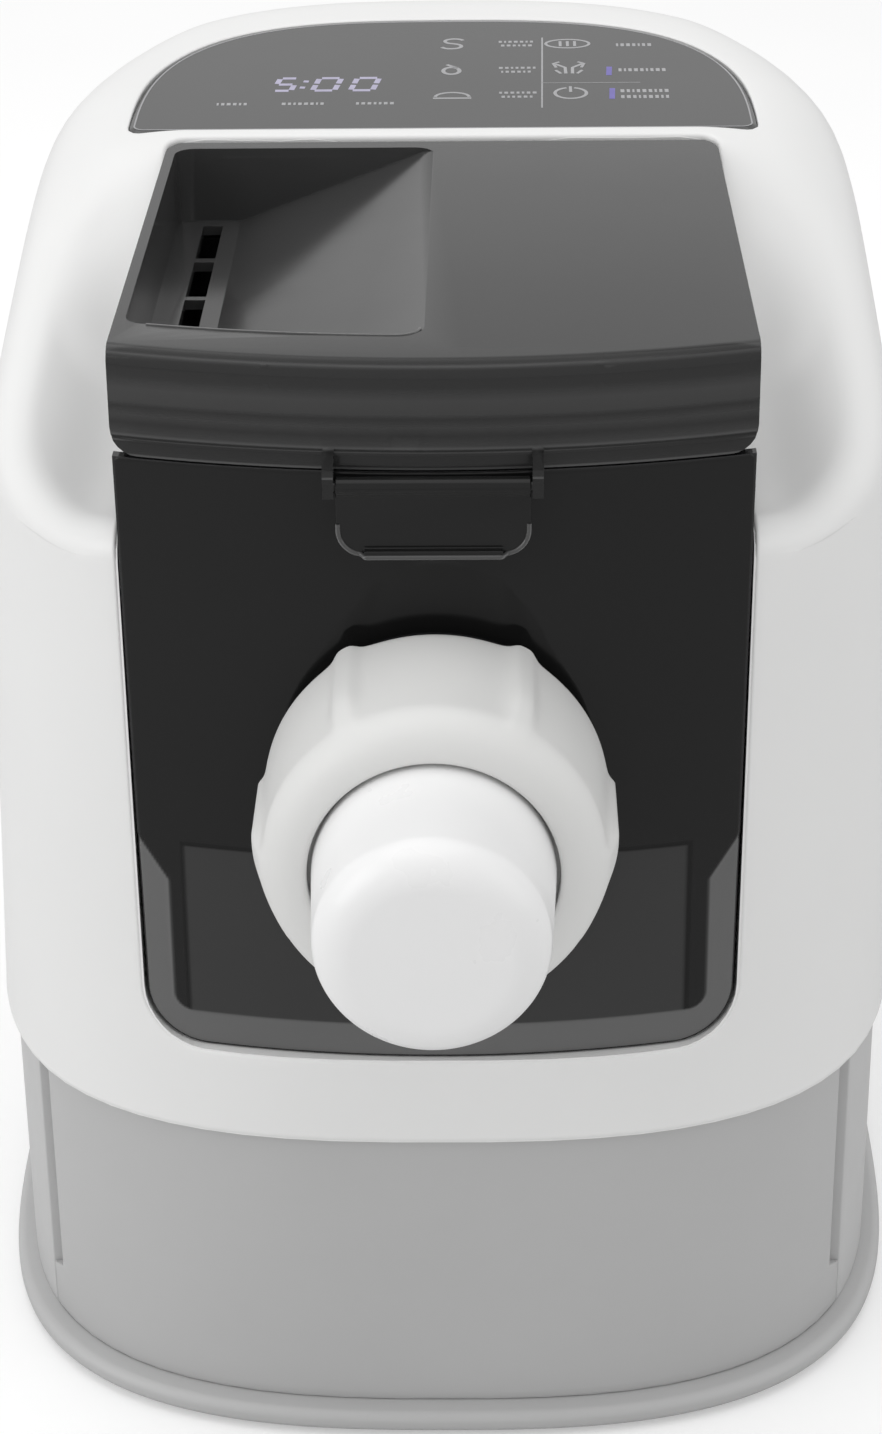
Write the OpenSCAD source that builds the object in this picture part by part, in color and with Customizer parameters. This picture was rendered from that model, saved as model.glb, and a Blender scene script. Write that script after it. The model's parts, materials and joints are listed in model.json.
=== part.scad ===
// Electric pasta maker: table-top machine with a slide-out mixing chamber,
// a screw nut and capped nozzle, a geared motor drive and a drawer in the base.
// Millimetres. The front faces -Y, +Z is up, and the table is at z = 0.

/* [Body] */
// Width of the white shell at its lower edge
body_w = 231.2; // [226:0.2:236]
// Depth of the white shell at its lower edge
body_d = 306; // [302:1:312]
// Height of the shell's lower edge above the table
shell_low = 85; // [83:1:87]
// Height of the shoulders at the front of the shell
shoulder_front_h = 239; // [236:1:242]
// Height of the shoulders at the back of the shell
shoulder_rear_h = 283; // [280:1:286]
// Wall thickness of the moulded housings
wall = 3; // [2.5:0.1:3.2]
// Inward lean of the shell's sides over its height
side_draft = 7.1; // [5:0.1:8]
// Depth of the hollow beside the lid
dish_depth = 7; // [3:0.5:9]

/* [Base] */
// How far the base sits inside the shell's lower edge
base_inset = 2.2; // [1.8:0.1:2.6]
// How far the foot ring reaches past the shell at the sides
ring_reach = 2.4; // [1:0.1:4]
// Height of the foot ring
ring_h = 5; // [4:0.5:6]
// How far the rubber feet stand below the foot ring
foot_h = 2; // [1.5:0.5:3]
// Length that the drawer reaches back into the base
drawer_l = 165; // [140:1:168]

/* [Chamber and lid] */
// Width of the lid and of the window
lid_w = 141; // [139:0.5:142]
// Height of the flat top of the lid
lid_top = 279; // [277:1:280]
// Height of the lid's skirt
skirt_h = 24; // [22:1:26]
// Depth of the pouring ramp at its low end
ramp_depth = 19; // [14:1:19]
// Wall thickness of the smoked chamber and lid
clear_wall = 2.4; // [2:0.1:2.8]
// Radius of the kneading trough inside
trough_r = 56; // [54:0.5:58]

/* [Nozzle] */
// Height of the nozzle's axis above the table
nozzle_h = 181; // [179:1:183]
// Inner radius of the outlet barrel
barrel_r = 25; // [24:0.5:26]
// Radius of the nut's round body
nut_r = 37; // [36:0.5:38]
// Length of the nut
nut_l = 41; // [39:1:42]
// Radius of the nut's front opening
nut_hole_r = 27; // [26.8:0.1:27.5]
// Radius of the cap where it leaves the nut
cap_r = 26.2; // [26:0.1:26.4]
// How far the cap stands out of the nut
cap_reach = 35; // [30:1:38]

/* [Drive] */
// Radius of the drive shaft
shaft_r = 6; // [5.8:0.1:6]
// Width across the flats of the shaft's hexagonal nose
hex_flats = 10; // [9.8:0.1:10]
// Tooth module of the two slower gear pairs
slow_module = 1.25;
// Tooth module of the motor's gear pair
fast_module = 1;
// Teeth of the output gear
output_teeth = 56;
// Teeth of the pinion that turns the output gear
output_pinion_teeth = 14;
// Teeth of the large wheels of the two compound gears
wheel_teeth = 48;
// Teeth of the small pinions
pinion_teeth = 12;

/* [Hidden] */
$fn = 64;

// Gaps between pieces: a running fit, a sliding fit and plain room
run_gap = 0.05;
slide_gap = 0.15;
room = 0.4;
// A cutting tool reaches this far past what it cuts
over = 1;

// Plan of the body: a rounded oblong, |x/a|^p + |y/b|^q = 1
plan_p = 2.7;
plan_q = 4.2;
plan_n = 72;
front_draft = 3.6;
draft_h = 180;
ring_a = body_w / 2 + ring_reach;
ring_b = body_d / 2 + 4;
base_a = body_w / 2 - base_inset;
base_b = body_d / 2 - base_inset;
ring_top = foot_h + ring_h;

// The body's centre lies behind the middle of the whole machine, nozzle cap included
nut_back = -body_d / 2 - 2;
nut_front = nut_back - nut_l;
cap_front = nut_front - cap_reach;
body_y = -(cap_front + ring_b) / 2;

// Lid, window and the channel that they fill
bow_r = 250;
front_lean = atan(front_draft / draft_h);
lid_half = lid_w / 2;
channel_half = lid_half + 0.6;
channel_back = 20.6;
channel_corner = 4;
channel_turn = [channel_half - channel_corner, channel_back - channel_corner];
window_low = 108;
window_corner = 14;
window_step = 0.8;
skirt_low = lid_top - skirt_h;
hinge_r = 4.4;
ear_r = 3;
hinge_pin_r = 1.5;
hinge_y = channel_back - 0.6 - hinge_r;
hinge_z = lid_top - hinge_r;
lid_back = hinge_y + hinge_r;
chamber_back = 10.5;
lid_back_wall = hinge_y - ear_r - room;
latch_y = -152.2;
latch_z = 252.5;
latch_half = 21;

// Panel plane, which rises to the back
panel_y = 26;
panel_z = 279;
panel_tilt = 5;
panel_half = 82;
panel_len = 84.4;
panel_t = 2.2;

// Gear train: axes seen from the front, and the three planes of teeth
out_c = [0, nozzle_h];
second_c = out_c + slow_module * (output_teeth + output_pinion_teeth) / 2 * [cos(-35), sin(-35)];
first_c = second_c + slow_module * (wheel_teeth + pinion_teeth) / 2 * [cos(-150), sin(-150)];
motor_c = first_c + fast_module * (wheel_teeth + pinion_teeth) / 2 * [cos(165), sin(165)];
plane_c = [29, 38];
plane_b = [40, 48];
plane_a = [50, 57];
box_front = 25;
box_back = 60;
cover_t = 3.5;
frame_t = 2;
frame_front = box_back + cover_t;
motor_front = frame_front + frame_t;
motor_r = 36;
motor_l = 62;
axle_r = 2.5;
motor_shaft_r = 3;

// Colours as the photograph shows them
white = "#ececea";
frosted = "#d4d4d2";
grey = "#a6a6a6";
pale_grey = "#b0b0b0";
smoked = "#2b2b2c";
panel_grey = "#6a6a6a";
steel = "#b8babd";
bronze = "#b08d57";
board_green = "#2f6b46";
black = "#1c1c1c";

// ---------- shared shapes ----------

// 0 before t = 0, 1 after t = 1, and a soft step between them
function smooth(t) = let (u = min(1, max(0, t))) u * u * (3 - 2 * u);

// Point of the plan outline at angle t, for half-width a and half-depth b
function plan_point(a, b, t) = [
    a * sign(cos(t)) * pow(abs(cos(t)), 2 / plan_p),
    b * sign(sin(t)) * pow(abs(sin(t)), 2 / plan_q)
];

function arc(c, r, from, to, n) = [
    for (i = [0:n]) c + r * [cos(from + (to - from) * i / n), sin(from + (to - from) * i / n)]
];

module plan(a, b) {
    polygon([for (i = [0:plan_n - 1]) plan_point(a, b, 360 * (i + 0.5) / plan_n)]);
}

// A prism of the plan outline between two heights
module plan_block(a, b, low, high) {
    translate([0, 0, low]) linear_extrude(high - low) plan(a, b);
}

module box(low, high) {
    translate(low) cube(high - low);
}

// A cylinder along Y at [x, z], from y0 to y1
module rod(c, r, y0, y1, fn = 64) {
    translate([c[0], y1, c[1]]) rotate([90, 0, 0]) cylinder(r = r, h = y1 - y0, $fn = fn);
}

// An upright cylinder at [x, y], between two heights
module post(p, r, low, high, fn = 24) {
    translate([p[0], p[1], low]) cylinder(r = r, h = high - low, $fn = fn);
}

// An outline of [x, z] points or shapes, pushed along Y from y0 to y1
module slab(y0, y1) {
    translate([0, y1, 0]) rotate([90, 0, 0]) linear_extrude(y1 - y0) children();
}

// A profile of [radius, distance towards the front] turned round the nozzle's axis
module turned(y, fn = 96) {
    translate([0, y, nozzle_h]) rotate([90, 0, 0]) rotate_extrude($fn = fn) children();
}

module both_sides() {
    children();
    mirror([1, 0, 0]) children();
}

// Everything is drawn about the body's centre and set into the machine's frame here
module place() {
    translate([0, body_y, 0]) children();
}

// ---------- white shell ----------

// Height of the shoulders along the body
function rim_z(y) = shoulder_front_h
    + (shoulder_rear_h - shoulder_front_h) * smooth((y + 105) / 175);

// The plane of the control panel
function head_z(y) = panel_z + (y - panel_y) * tan(panel_tilt);

// The hollow beside the lid, deepest near the lid's front corners
function dish(x, y) = dish_depth * (1 - smooth((abs(x) - 76) / 26))
    * smooth((y + 148) / 34) * (1 - smooth((y + 25) / 50));

function top_z(x, y) = rim_z(y) - dish(x, y)
    + (head_z(y) - rim_z(y)) * (1 - smooth((abs(x) - 66) / 36)) * smooth((y + 40) / 60);

// Rounding of the top edge: tight at the front, wide at the back
function edge_r(y) = 9 + 19 * smooth((y + 150) / 240);

// Point of the skin at plan angle t. The step runs up the wall from 0 to 1,
// round the edge from 1 to 2, and across the top from 2 to 3.
function skin_point(t, step, thick) =
    let (
        up = min(1, step),
        turn = 90 * min(1, max(0, step - 1)),
        across = max(0, step - 2),
        full = plan_point(body_w / 2, body_d / 2, t),
        r = edge_r(full[1]) - thick,
        wall_top = top_z(full[0], full[1]) - thick - r,
        z_wall = shell_low + up * (wall_top - shell_low),
        lean = (z_wall - shell_low) / draft_h,
        a = body_w / 2 - side_draft * lean - thick,
        b = body_d / 2 - front_draft * lean - thick,
        inset = r * (1 - cos(turn)),
        shrink = 1 - across * 0.985,
        p = plan_point((a - inset) * shrink, (b - inset) * shrink, t),
        z_top = top_z(p[0], p[1]) - thick - r * (1 - sin(turn))
    )
    [p[0], p[1], step <= 1 ? z_wall : z_top];

// Closed solid under the skin. Its steps are the rings from the foot to the crown.
module skin(thick, low, steps) {
    n = plan_n;
    rings = len(steps);
    foot = [for (i = [0:n - 1]) let (p = skin_point(360 * (i + 0.5) / n, 0, thick)) [p[0], p[1], low]];
    body = [for (s = steps, i = [0:n - 1]) skin_point(360 * (i + 0.5) / n, s, thick)];
    crown = [0, 0, top_z(0, 0) - thick];
    sides = [
        for (k = [0:rings - 1], i = [0:n - 1])
            let (j = (i + 1) % n, lo = k * n, hi = (k + 1) * n)
            each [[lo + i, hi + j, lo + j], [lo + i, hi + i, hi + j]]
    ];
    last = rings * n;
    cap = [for (i = [0:n - 1]) [last + i, last + n, last + (i + 1) % n]];
    polyhedron(points = concat(foot, body, [crown]), faces = concat([[for (i = [0:n - 1]) i]], sides, cap));
}

// Outline of the channel and window, seen from the front, grown by extra
function channel_outline(extra, top) =
    let (w = channel_half + extra, low = window_low - 0.4 - extra, r = window_corner + extra, in = 1.4)
    concat(
        [[-w, top]],
        arc([-w + in + r, low + r], r, 180, 270, 8),
        arc([w - in - r, low + r], r, 270, 360, 8),
        [[w, top]]
    );

// Rounded slot through a wall that faces +Y
module air_slot(x, z, h) {
    hull() {
        rod([x, z - h / 2], 1.6, 120, 180, 8);
        rod([x, z + h / 2], 1.6, 120, 180, 8);
    }
}

// Outline of the control panel in its own plane, grown by extra
module panel_outline(extra) {
    a = panel_half + extra;
    b = panel_len + extra;
    r = 4;
    polygon(concat(
        arc([-a + r, r - extra], r, 180, 270, 4),
        arc([a - r, r - extra], r, 270, 360, 4),
        [for (i = [1:23]) let (t = 90 * i / 24) [a * pow(cos(t), 2 / 3), b * pow(sin(t), 2 / 2.8)]],
        [for (i = [0:23]) let (t = 90 - 90 * i / 24) [-a * pow(cos(t), 2 / 3), b * pow(sin(t), 2 / 2.8)]]
    ));
}

module on_panel_plane() {
    translate([0, panel_y, panel_z]) rotate([panel_tilt, 0, 0]) children();
}

shell_bosses = [[-104, -40], [104, -40], [-104, 70], [104, 70]];

module main_shell() {
    outer_steps = [0, 1, 1.25, 1.5, 1.75, 2, 2.1, 2.2, 2.3, 2.42, 2.6, 3];
    inner_steps = [0, 1, 1.5, 2, 2.2, 2.42, 3];
    color(white) place() {
        difference() {
            union() {
                difference() {
                    skin(0, shell_low, outer_steps);
                    skin(wall, shell_low - over, inner_steps);
                }
                intersection() {
                    skin(0, shell_low, outer_steps);
                    union() {
                        slab(-body_d / 2, channel_back + wall) polygon(channel_outline(clear_wall, 300));
                        for (p = shell_bosses) post(p, 5, shell_low, shell_low + 34);
                        both_sides() for (p = [shell_bosses[1], shell_bosses[3]])
                            box([p[0], p[1] - 1.2, shell_low + 6], [120, p[1] + 1.2, shell_low + 30]);
                        on_panel_plane() translate([0, 0, -panel_t - 6])
                            linear_extrude(6) panel_outline(3);
                    }
                }
            }
            intersection() {
                slab(-200, channel_back) polygon(channel_outline(0, 310));
                linear_extrude(400) polygon(concat(
                    [[-100, -300], [100, -300]],
                    arc(channel_turn, channel_corner, 0, 90, 6),
                    arc([-channel_turn[0], channel_turn[1]], channel_corner, 90, 180, 6)
                ));
            }
            rod(out_c, 18, channel_back - over, channel_back + wall + over);
            for (p = shell_bosses) post(p, 1.75, shell_low - over, shell_low + 25);
            on_panel_plane() translate([0, 0, -panel_t]) linear_extrude(20) panel_outline(0.25);
            on_panel_plane() translate([0, 0, -20]) linear_extrude(30) panel_outline(-7);
            for (i = [-5:5]) {
                air_slot(8 * i, 205, 26);
                air_slot(8 * i, 155, 26);
            }
        }
    }
}

module control_panel() {
    color(panel_grey) place() on_panel_plane() {
        translate([0, 0, -panel_t]) linear_extrude(panel_t) panel_outline(0);
    }
}

// ---------- base ----------

deck_t = 3;
bay_half = 95;
bay_back = drawer_l - 145;
seam_y = -110;
drawer_half = 93;
// Finger grooves down the sides of the drawer front
groove_w = 5;
groove_low = 20;

module base_housing() {
    color(grey) place() difference() {
        union() {
            difference() {
                plan_block(base_a, base_b, ring_top, shell_low);
                plan_block(base_a - wall, base_b - wall, ring_top - over, shell_low - deck_t);
            }
            // Lip that centres the shell
            difference() {
                plan_block(body_w / 2 - wall - 0.2, body_d / 2 - wall - 0.2, shell_low - deck_t, shell_low + 5);
                plan_block(body_w / 2 - 2 * wall, body_d / 2 - 2 * wall, shell_low, shell_low + 5 + over);
                for (p = shell_bosses) post(p, 5.4, shell_low, shell_low + 10, 32);
                box([-200, -200, shell_low], [200, seam_y, shell_low + 10]);
            }
            // Side and back walls of the drawer bay
            both_sides() box([bay_half, seam_y, ring_top], [bay_half + 2.5, bay_back + 2.5, shell_low]);
            box([-bay_half, bay_back, ring_top], [bay_half, bay_back + 2.5, shell_low]);
            both_sides() box([bay_half, seam_y, ring_top], [base_a - 14, seam_y + 2.5, shell_low]);
            // Screw bosses down to the bottom plate
            for (p = plate_bosses) post(p, 4, ring_top, shell_low, 32);
        }
        // The whole front belongs to the drawer
        box([-200, -200, ring_top - over], [200, seam_y, shell_low + 10]);
        for (p = plate_bosses) post(p, 1.4, ring_top - over, ring_top + 19);
        for (p = shell_bosses) post(p, 1.9, shell_low - deck_t - over, shell_low + over);
        for (p = frame_feet) post(p, 2.05, shell_low - deck_t - over, shell_low + over);
        // Mains inlet at the back
        box([-15, base_b - 12, 26], [15, base_b + 10, 46]);
        // Way for the leads up to the motor
        box([40, 100, shell_low - deck_t - over], [70, 118, shell_low + over]);
    }
    color(grey) place() front_deck();
}

// The deck ahead of the drawer seam, thin enough to clear the drawer
module front_deck() {
    intersection() {
        plan_block(base_a - 2 * wall, base_b - 2 * wall, shell_low - deck_t, shell_low);
        box([-200, -200, 0], [200, seam_y, shell_low]);
    }
}

plate_bosses = [[-101, -84], [101, -84], [-90, 104], [90, 104]];
foot_places = [[-86, -108], [86, -108], [-86, 118], [86, 118]];
board_posts = [[-66, 44], [66, 44], [-66, 128], [66, 128]];

module base_plate() {
    color(pale_grey) place() difference() {
        union() {
            hull() {
                plan_block(ring_a - 0.8, ring_b - 0.8, foot_h, ring_top - 2);
                plan_block(ring_a, ring_b, foot_h + 1, ring_top - 2);
                plan_block(ring_a - 0.7, ring_b - 0.7, foot_h + 1, ring_top - 0.7);
                plan_block(ring_a - 2, ring_b - 2, foot_h + 1, ring_top);
            }
            for (p = board_posts) post(p, 3.5, ring_top - over, board_z, 32);
        }
        // Underside pocket, with a boss left round each foot
        difference() {
            plan_block(ring_a - 6, ring_b - 6, foot_h - over, foot_h + 1.6);
            for (p = foot_places) post(p, 11, 0, 10, 48);
            for (p = plate_bosses) post(p, 5, 0, 10, 32);
            for (y = [-70, -30, 10]) box([-100, y - 1, 0], [100, y + 1, 10]);
            both_sides() box([40, -140, 0], [42, 140, 10]);
        }
        for (p = foot_places) post(p, 5, foot_h - over, foot_h + 2, 48);
        for (p = plate_bosses) {
            post(p, 1.9, foot_h - over, ring_top + 4);
            post(p, 3.6, foot_h - over, foot_h + 2, 32);
        }
        for (p = board_posts) post(p, 1.2, ring_top + 2, board_z + over);
        for (i = [-5:5]) box([7 * i - 1.5, 60, foot_h - over], [7 * i + 1.5, 100, ring_top + over]);
    }
}

module rubber_feet() {
    color(black) place() for (p = foot_places) translate([p[0], p[1], 0])
        rotate_extrude($fn = 48) polygon([
            [0, 0], [7, 0], [8, 1], [8, foot_h], [5, foot_h], [5, foot_h + 2], [0, foot_h + 2]
        ]);
}

module storage_drawer() {
    low = ring_top + 0.4;
    high = shell_low - 0.4;
    floor_low = ring_top + 2.4;
    box_high = shell_low - deck_t - 1.2;
    back = bay_back - 1;
    t = 2;
    color(grey) place() {
        // Curved front, which wraps round both corners to the seam and the finger grooves
        difference() {
            plan_block(base_a, base_b, low, high);
            plan_block(base_a - wall, base_b - wall, low - over, high + over);
            box([-200, seam_y - 0.4, 0], [200, 200, 200]);
            box([-200, seam_y - groove_w, groove_low], [200, 200, 200]);
        }
        // Floor, side walls and back wall of the box
        intersection() {
            plan_block(base_a - 1, base_b - 1, floor_low, box_high);
            difference() {
                box([-drawer_half, -200, floor_low], [drawer_half, back, box_high]);
                box([-drawer_half + t, -200, floor_low + t], [drawer_half - t, back - t, box_high + over]);
            }
        }
        // Returns between the box and the front, set back at the finger grooves
        both_sides() box([drawer_half - t, seam_y - 3.4, low], [97, seam_y - 0.9, groove_low]);
        both_sides() box([drawer_half - t, seam_y - groove_w - t, low], [96, seam_y - groove_w, box_high]);
        // Runners
        both_sides() box([70, -100, ring_top + slide_gap], [76, back - 4, floor_low + 0.5]);
    }
}

// ---------- chamber ----------

// Trough outline: round below, wide above
module trough_outline(extra, top) {
    hull() {
        translate([0, nozzle_h]) circle(r = trough_r + extra, $fn = 72);
        translate([-65 - extra, nozzle_h + 36]) square([130 + 2 * extra, top - nozzle_h - 36]);
    }
}

// Everything behind the bowed, slightly leaning front, set back by depth
module behind_front(depth) {
    rise = 85;
    translate([0, -body_d / 2 + depth, shell_low]) rotate([-front_lean, 0, 0])
        translate([0, bow_r, -rise]) cylinder(r = bow_r, h = 330, $fn = 256);
}

module barrel_thread() {
    for (i = [0:2]) turned(nut_back - 12 - 6 * i)
        polygon([[29.5, 0], [31.2, 1.2], [31.2, 2], [29.5, 3.2]]);
}

barrel_end = nut_front + 9;
trough_top = lid_top - ramp_depth - clear_wall - 1.6;
ear_places = [-60, -20, 20, 60];

// Outline of the window plate, seen from the front
module window_outline() {
    w = lid_half - 0.3;
    x = w - 1.4 - window_corner;
    y = window_low + window_corner;
    polygon(concat(
        [[-w, skirt_low - room]],
        arc([-x, y], window_corner, 180, 270, 8),
        arc([x, y], window_corner, 270, 360, 8),
        [[w, skirt_low - room]]
    ));
}

// The window's raised field. Below it narrows and leaves a step along the plate's edge.
module window_field() {
    low = window_low + 9.3;
    r = 4;
    polygon(concat(
        [[-90, 300], [-90, 195], [-62, 151]],
        arc([-62 + r, low + r], r, 180, 270, 4),
        arc([62 - r, low + r], r, 270, 360, 4),
        [[62, 151], [90, 195], [90, 300]]
    ));
}

module mixing_chamber() {
    color(smoked) place() difference() {
        union() {
            // Bowed window plate
            intersection() {
                difference() {
                    behind_front(0.6);
                    behind_front(0.6 + 3);
                }
                slab(-200, -100) window_outline();
                union() {
                    slab(-200, -100) window_field();
                    behind_front(0.6 + window_step);
                }
            }
            // Trough
            intersection() {
                slab(-160, chamber_back) trough_outline(clear_wall, trough_top);
                behind_front(4.2);
            }
            // Barrel with its collar and root
            rod(out_c, 36, -153.4, -143);
            rod(out_c, 29.5, barrel_end, -143);
            barrel_thread();
            // Runners and front foot
            both_sides() box([38, -140, window_low - 0.4 + slide_gap], [42, 6, nozzle_h - 40]);
            // Hinge ears, which rise behind the lid's back wall
            for (x = ear_places) translate([x - 3, 0, 0]) rotate([90, 0, 90]) linear_extrude(6) polygon(concat(
                arc([hinge_y, hinge_z], ear_r, 0, 180, 12),
                [
                    [hinge_y - 1.6, trough_top + 1], [chamber_back - clear_wall, trough_top - 6],
                    [chamber_back - clear_wall, trough_top - 16], [chamber_back, trough_top - 16],
                    [hinge_y + ear_r - 0.4, trough_top - 4]
                ]
            ));
        }
        // Inside of the trough
        intersection() {
            slab(-160, chamber_back - clear_wall) trough_outline(0, lid_top + 10);
            behind_front(6.6);
        }
        rod(out_c, barrel_r, barrel_end - over, -100);
        // Seat of the shaft seal
        rod(out_c, 13, chamber_back - clear_wall - over, chamber_back + over);
        // Hinge bore
        translate([-80, hinge_y, hinge_z]) rotate([0, 90, 0]) cylinder(r = hinge_pin_r, h = 160, $fn = 48);
        // Catch slot for the latch
        box([-8, -200, latch_z - 11], [8, -148, latch_z - 8]);
    }
}

module lid_hinge_pin() {
    color(steel) place() translate([-65, hinge_y, hinge_z]) rotate([0, 90, 0])
        cylinder(r = hinge_pin_r, h = 130, $fn = 48);
}

// Radius of the lid's bowed front about its upright axis: it leans back as it rises
function front_r(z) = bow_r - (z - shell_low) * front_draft / draft_h;

// Lid seen from above: bowed front with a round top edge, rounded back corners, and a
// back edge that is round about the hinge so that it can swing in the channel
module lid_block(inset, low, high, round) {
    r = 12 - inset;
    intersection() {
        translate([0, -body_d / 2 + 1 + inset + bow_r, 0]) rotate_extrude($fn = 256) polygon(concat(
            [[0, low], [front_r(low), low]],
            arc([front_r(high - round) - round, high - round], round, 0, 90, 6),
            [[0, high]]
        ));
        union() {
            box([-100, -200, low - over], [100, hinge_y, high + over]);
            translate([-100, hinge_y, hinge_z]) rotate([0, 90, 0]) cylinder(r = hinge_r - inset, h = 200);
        }
        translate([0, 0, low - over]) linear_extrude(high - low + 2 * over) polygon(concat(
            [[-lid_half + inset, -200], [lid_half - inset, -200]],
            arc([lid_half - inset - r, lid_back - inset - r], r, 0, 90, 8),
            arc([-lid_half + inset + r, lid_back - inset - r], r, 90, 180, 8)
        ));
    }
}

// Pouring tray: flat at the left, then a ramp that rises until it is flush
tray_x = [-68, -2];
tray_flat = -52;
tray_back = lid_back_wall - 1.6;
slot_x = [-61.4, -56.4];
slot_y = [-78, -49.5, -20.5];
slot_l = 26;

// The tray's front edge runs along the lid's bowed front
function tray_front(x) = -body_d / 2 + 22.5 + bow_r - sqrt(bow_r * bow_r - x * x);

module tray(extra) {
    left = tray_x[0] - extra;
    right = tray_x[1];
    floor_z = lid_top - ramp_depth - extra;
    r = 5;
    intersection() {
        slab(-150, tray_back + extra) polygon([
            [right, lid_top + over], [left, lid_top + over], [left, floor_z], [tray_flat, floor_z],
            [right, lid_top - extra]
        ]);
        translate([0, 0, floor_z - over]) linear_extrude(ramp_depth + extra + 3 * over) polygon(concat(
            arc([left + r, tray_front(left + r) - extra + r], r, 180, 270, 6),
            [for (i = [1:7]) let (x = left + r + (right - left - 2 * r) * i / 8) [x, tray_front(x) - extra]],
            arc([right - r, tray_front(right - r) - extra + r], r, 270, 360, 6),
            arc([right - r, tray_back + extra - r], r, 0, 90, 6),
            arc([left + r, tray_back + extra - r], r, 90, 180, 6)
        ));
    }
}

module chamber_lid() {
    t = clear_wall;
    edge = 4;
    color(smoked) place() difference() {
        union() {
            difference() {
                lid_block(0, skirt_low, lid_top, edge);
                intersection() {
                    lid_block(t, skirt_low - over, lid_top - t, edge - t);
                    box([-100, -200, 0], [100, tray_back, 300]);
                }
                // The back wall ends above the chamber's rim, ahead of the hinge
                box([-100, chamber_back - clear_wall - room, skirt_low - over], [100, 100, trough_top + room]);
                box([-100, lid_back_wall, skirt_low - over], [100, 100, hinge_z]);
            }
            // Lower lip of the front skirt
            intersection() {
                difference() {
                    lid_block(-0.5, skirt_low, skirt_low + 4, over);
                    lid_block(t, skirt_low - over, lid_top, over);
                }
                box([-lid_half, -200, 0], [lid_half, -120, 300]);
            }
            // Pouring tray under the top
            intersection() {
                lid_block(t / 2, skirt_low, lid_top - t / 2, over);
                box([-100, -200, 0], [100, lid_back_wall, 300]);
                tray(t);
            }
            // Hinge barrels between the chamber's ears
            for (x = [-40, 0, 40]) translate([x - 16.5, hinge_y, hinge_z]) rotate([0, 90, 0])
                cylinder(r = hinge_r, h = 33, $fn = 64);
            // Stiffening ribs behind the front skirt
            both_sides() box([35, -145, skirt_low + 6], [36.5, -139, lid_top - t + over]);
            // Ears that carry the latch
            both_sides() translate([latch_half + 0.3, 0, 0]) rotate([90, 0, 90]) linear_extrude(2.4)
                polygon([
                    [latch_y - 2.2, latch_z - 2], [latch_y + 2, latch_z - 2], [latch_y + 2, skirt_low],
                    [-146.5, skirt_low], [-146.5, skirt_low + 5], [latch_y - 2.2, skirt_low + 2]
                ]);
        }
        tray(0);
        for (y = slot_y) box([slot_x[0], y, lid_top - ramp_depth - 5], [slot_x[1], y + slot_l, lid_top]);
        // Round lower corners of the front skirt
        both_sides() slab(-200, -120) polygon(concat(
            [[lid_half + over, skirt_low - over], [lid_half + over, skirt_low + 6]],
            arc([lid_half - 6, skirt_low + 6], 6, 0, -90, 6),
            [[lid_half - 6, skirt_low - over]]
        ));
        // Room for the hinge ears and the pin
        for (x = ear_places)
            box([x - 3.5, lid_back_wall, hinge_z - 9], [x + 3.5, hinge_y + 9, hinge_z + ear_r + room]);
        translate([-80, hinge_y, hinge_z]) rotate([0, 90, 0])
            cylinder(r = hinge_pin_r + run_gap, h = 160, $fn = 48);
        translate([-60, latch_y, latch_z]) rotate([0, 90, 0]) cylinder(r = 1.2, h = 120, $fn = 32);
    }
}

module lid_latch() {
    r = 6;
    low = latch_z - 15.5;
    color(smoked) place() difference() {
        union() {
            // Finger tab with rounded lower corners
            slab(latch_y - 1.6, latch_y + 1) polygon(concat(
                [[-latch_half, latch_z]],
                arc([-latch_half + r, low + r], r, 180, 270, 6),
                arc([latch_half - r, low + r], r, 270, 360, 6),
                [[latch_half, latch_z]]
            ));
            // Pin barrel and finger lip
            translate([-latch_half, latch_y, latch_z]) rotate([0, 90, 0])
                cylinder(r = 2.2, h = 2 * latch_half, $fn = 32);
            box([-latch_half + r, latch_y - 3.4, low], [latch_half - r, latch_y, low + 1.8]);
        }
        translate([-60, latch_y, latch_z]) rotate([0, 90, 0])
            cylinder(r = 1.2 + run_gap, h = 120, $fn = 32);
    }
}

module latch_pin() {
    reach = latch_half + 2.6;
    color(steel) place() translate([-reach, latch_y, latch_z]) rotate([0, 90, 0])
        cylinder(r = 1.2, h = 2 * reach, $fn = 32);
}

// ---------- nozzle ----------

// Outside of the nut, grown by extra for its grip ribs
module nut_profile(extra) {
    round = 9;
    polygon(concat(
        [[0, 0], [nut_r - 1 + extra, 0], [nut_r + extra, 10]],
        arc([nut_r + extra - round, nut_l - round], round, 0, 90, 8),
        [[0, nut_l]]
    ));
}

module nozzle_nut() {
    ribs = 6;
    rib_w = 7;
    color(frosted) place() difference() {
        union() {
            turned(nut_back) nut_profile(0);
            intersection() {
                turned(nut_back) nut_profile(3);
                union() for (i = [0:ribs - 1]) translate([0, 0, nozzle_h]) rotate([0, 30 + 360 / ribs * i, 0])
                    rod([0, nut_r - 0.6], rib_w / 2, nut_front + 6, nut_back, 32);
            }
        }
        rod(out_c, 31.25, nut_front + 4.3, nut_back + over, 96);
        rod(out_c, nut_hole_r, nut_front - over, nut_front + 10, 96);
    }
}

module pasta_die() {
    color(white) place() difference() {
        turned(nut_front + 8) polygon([
            [0, 0], [30, 0], [30, 3.4], [24, 3.4], [24, 22], [23, 23], [0, 23]
        ]);
        // Funnel behind the plate and the strand holes
        rod(out_c, 19, nut_front - 8, nut_front + 8 + over);
        for (i = [0:7]) rod(out_c + 11 * [cos(45 * i), sin(45 * i)], 2, nut_front - 20, nut_front, 16);
    }
}

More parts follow.
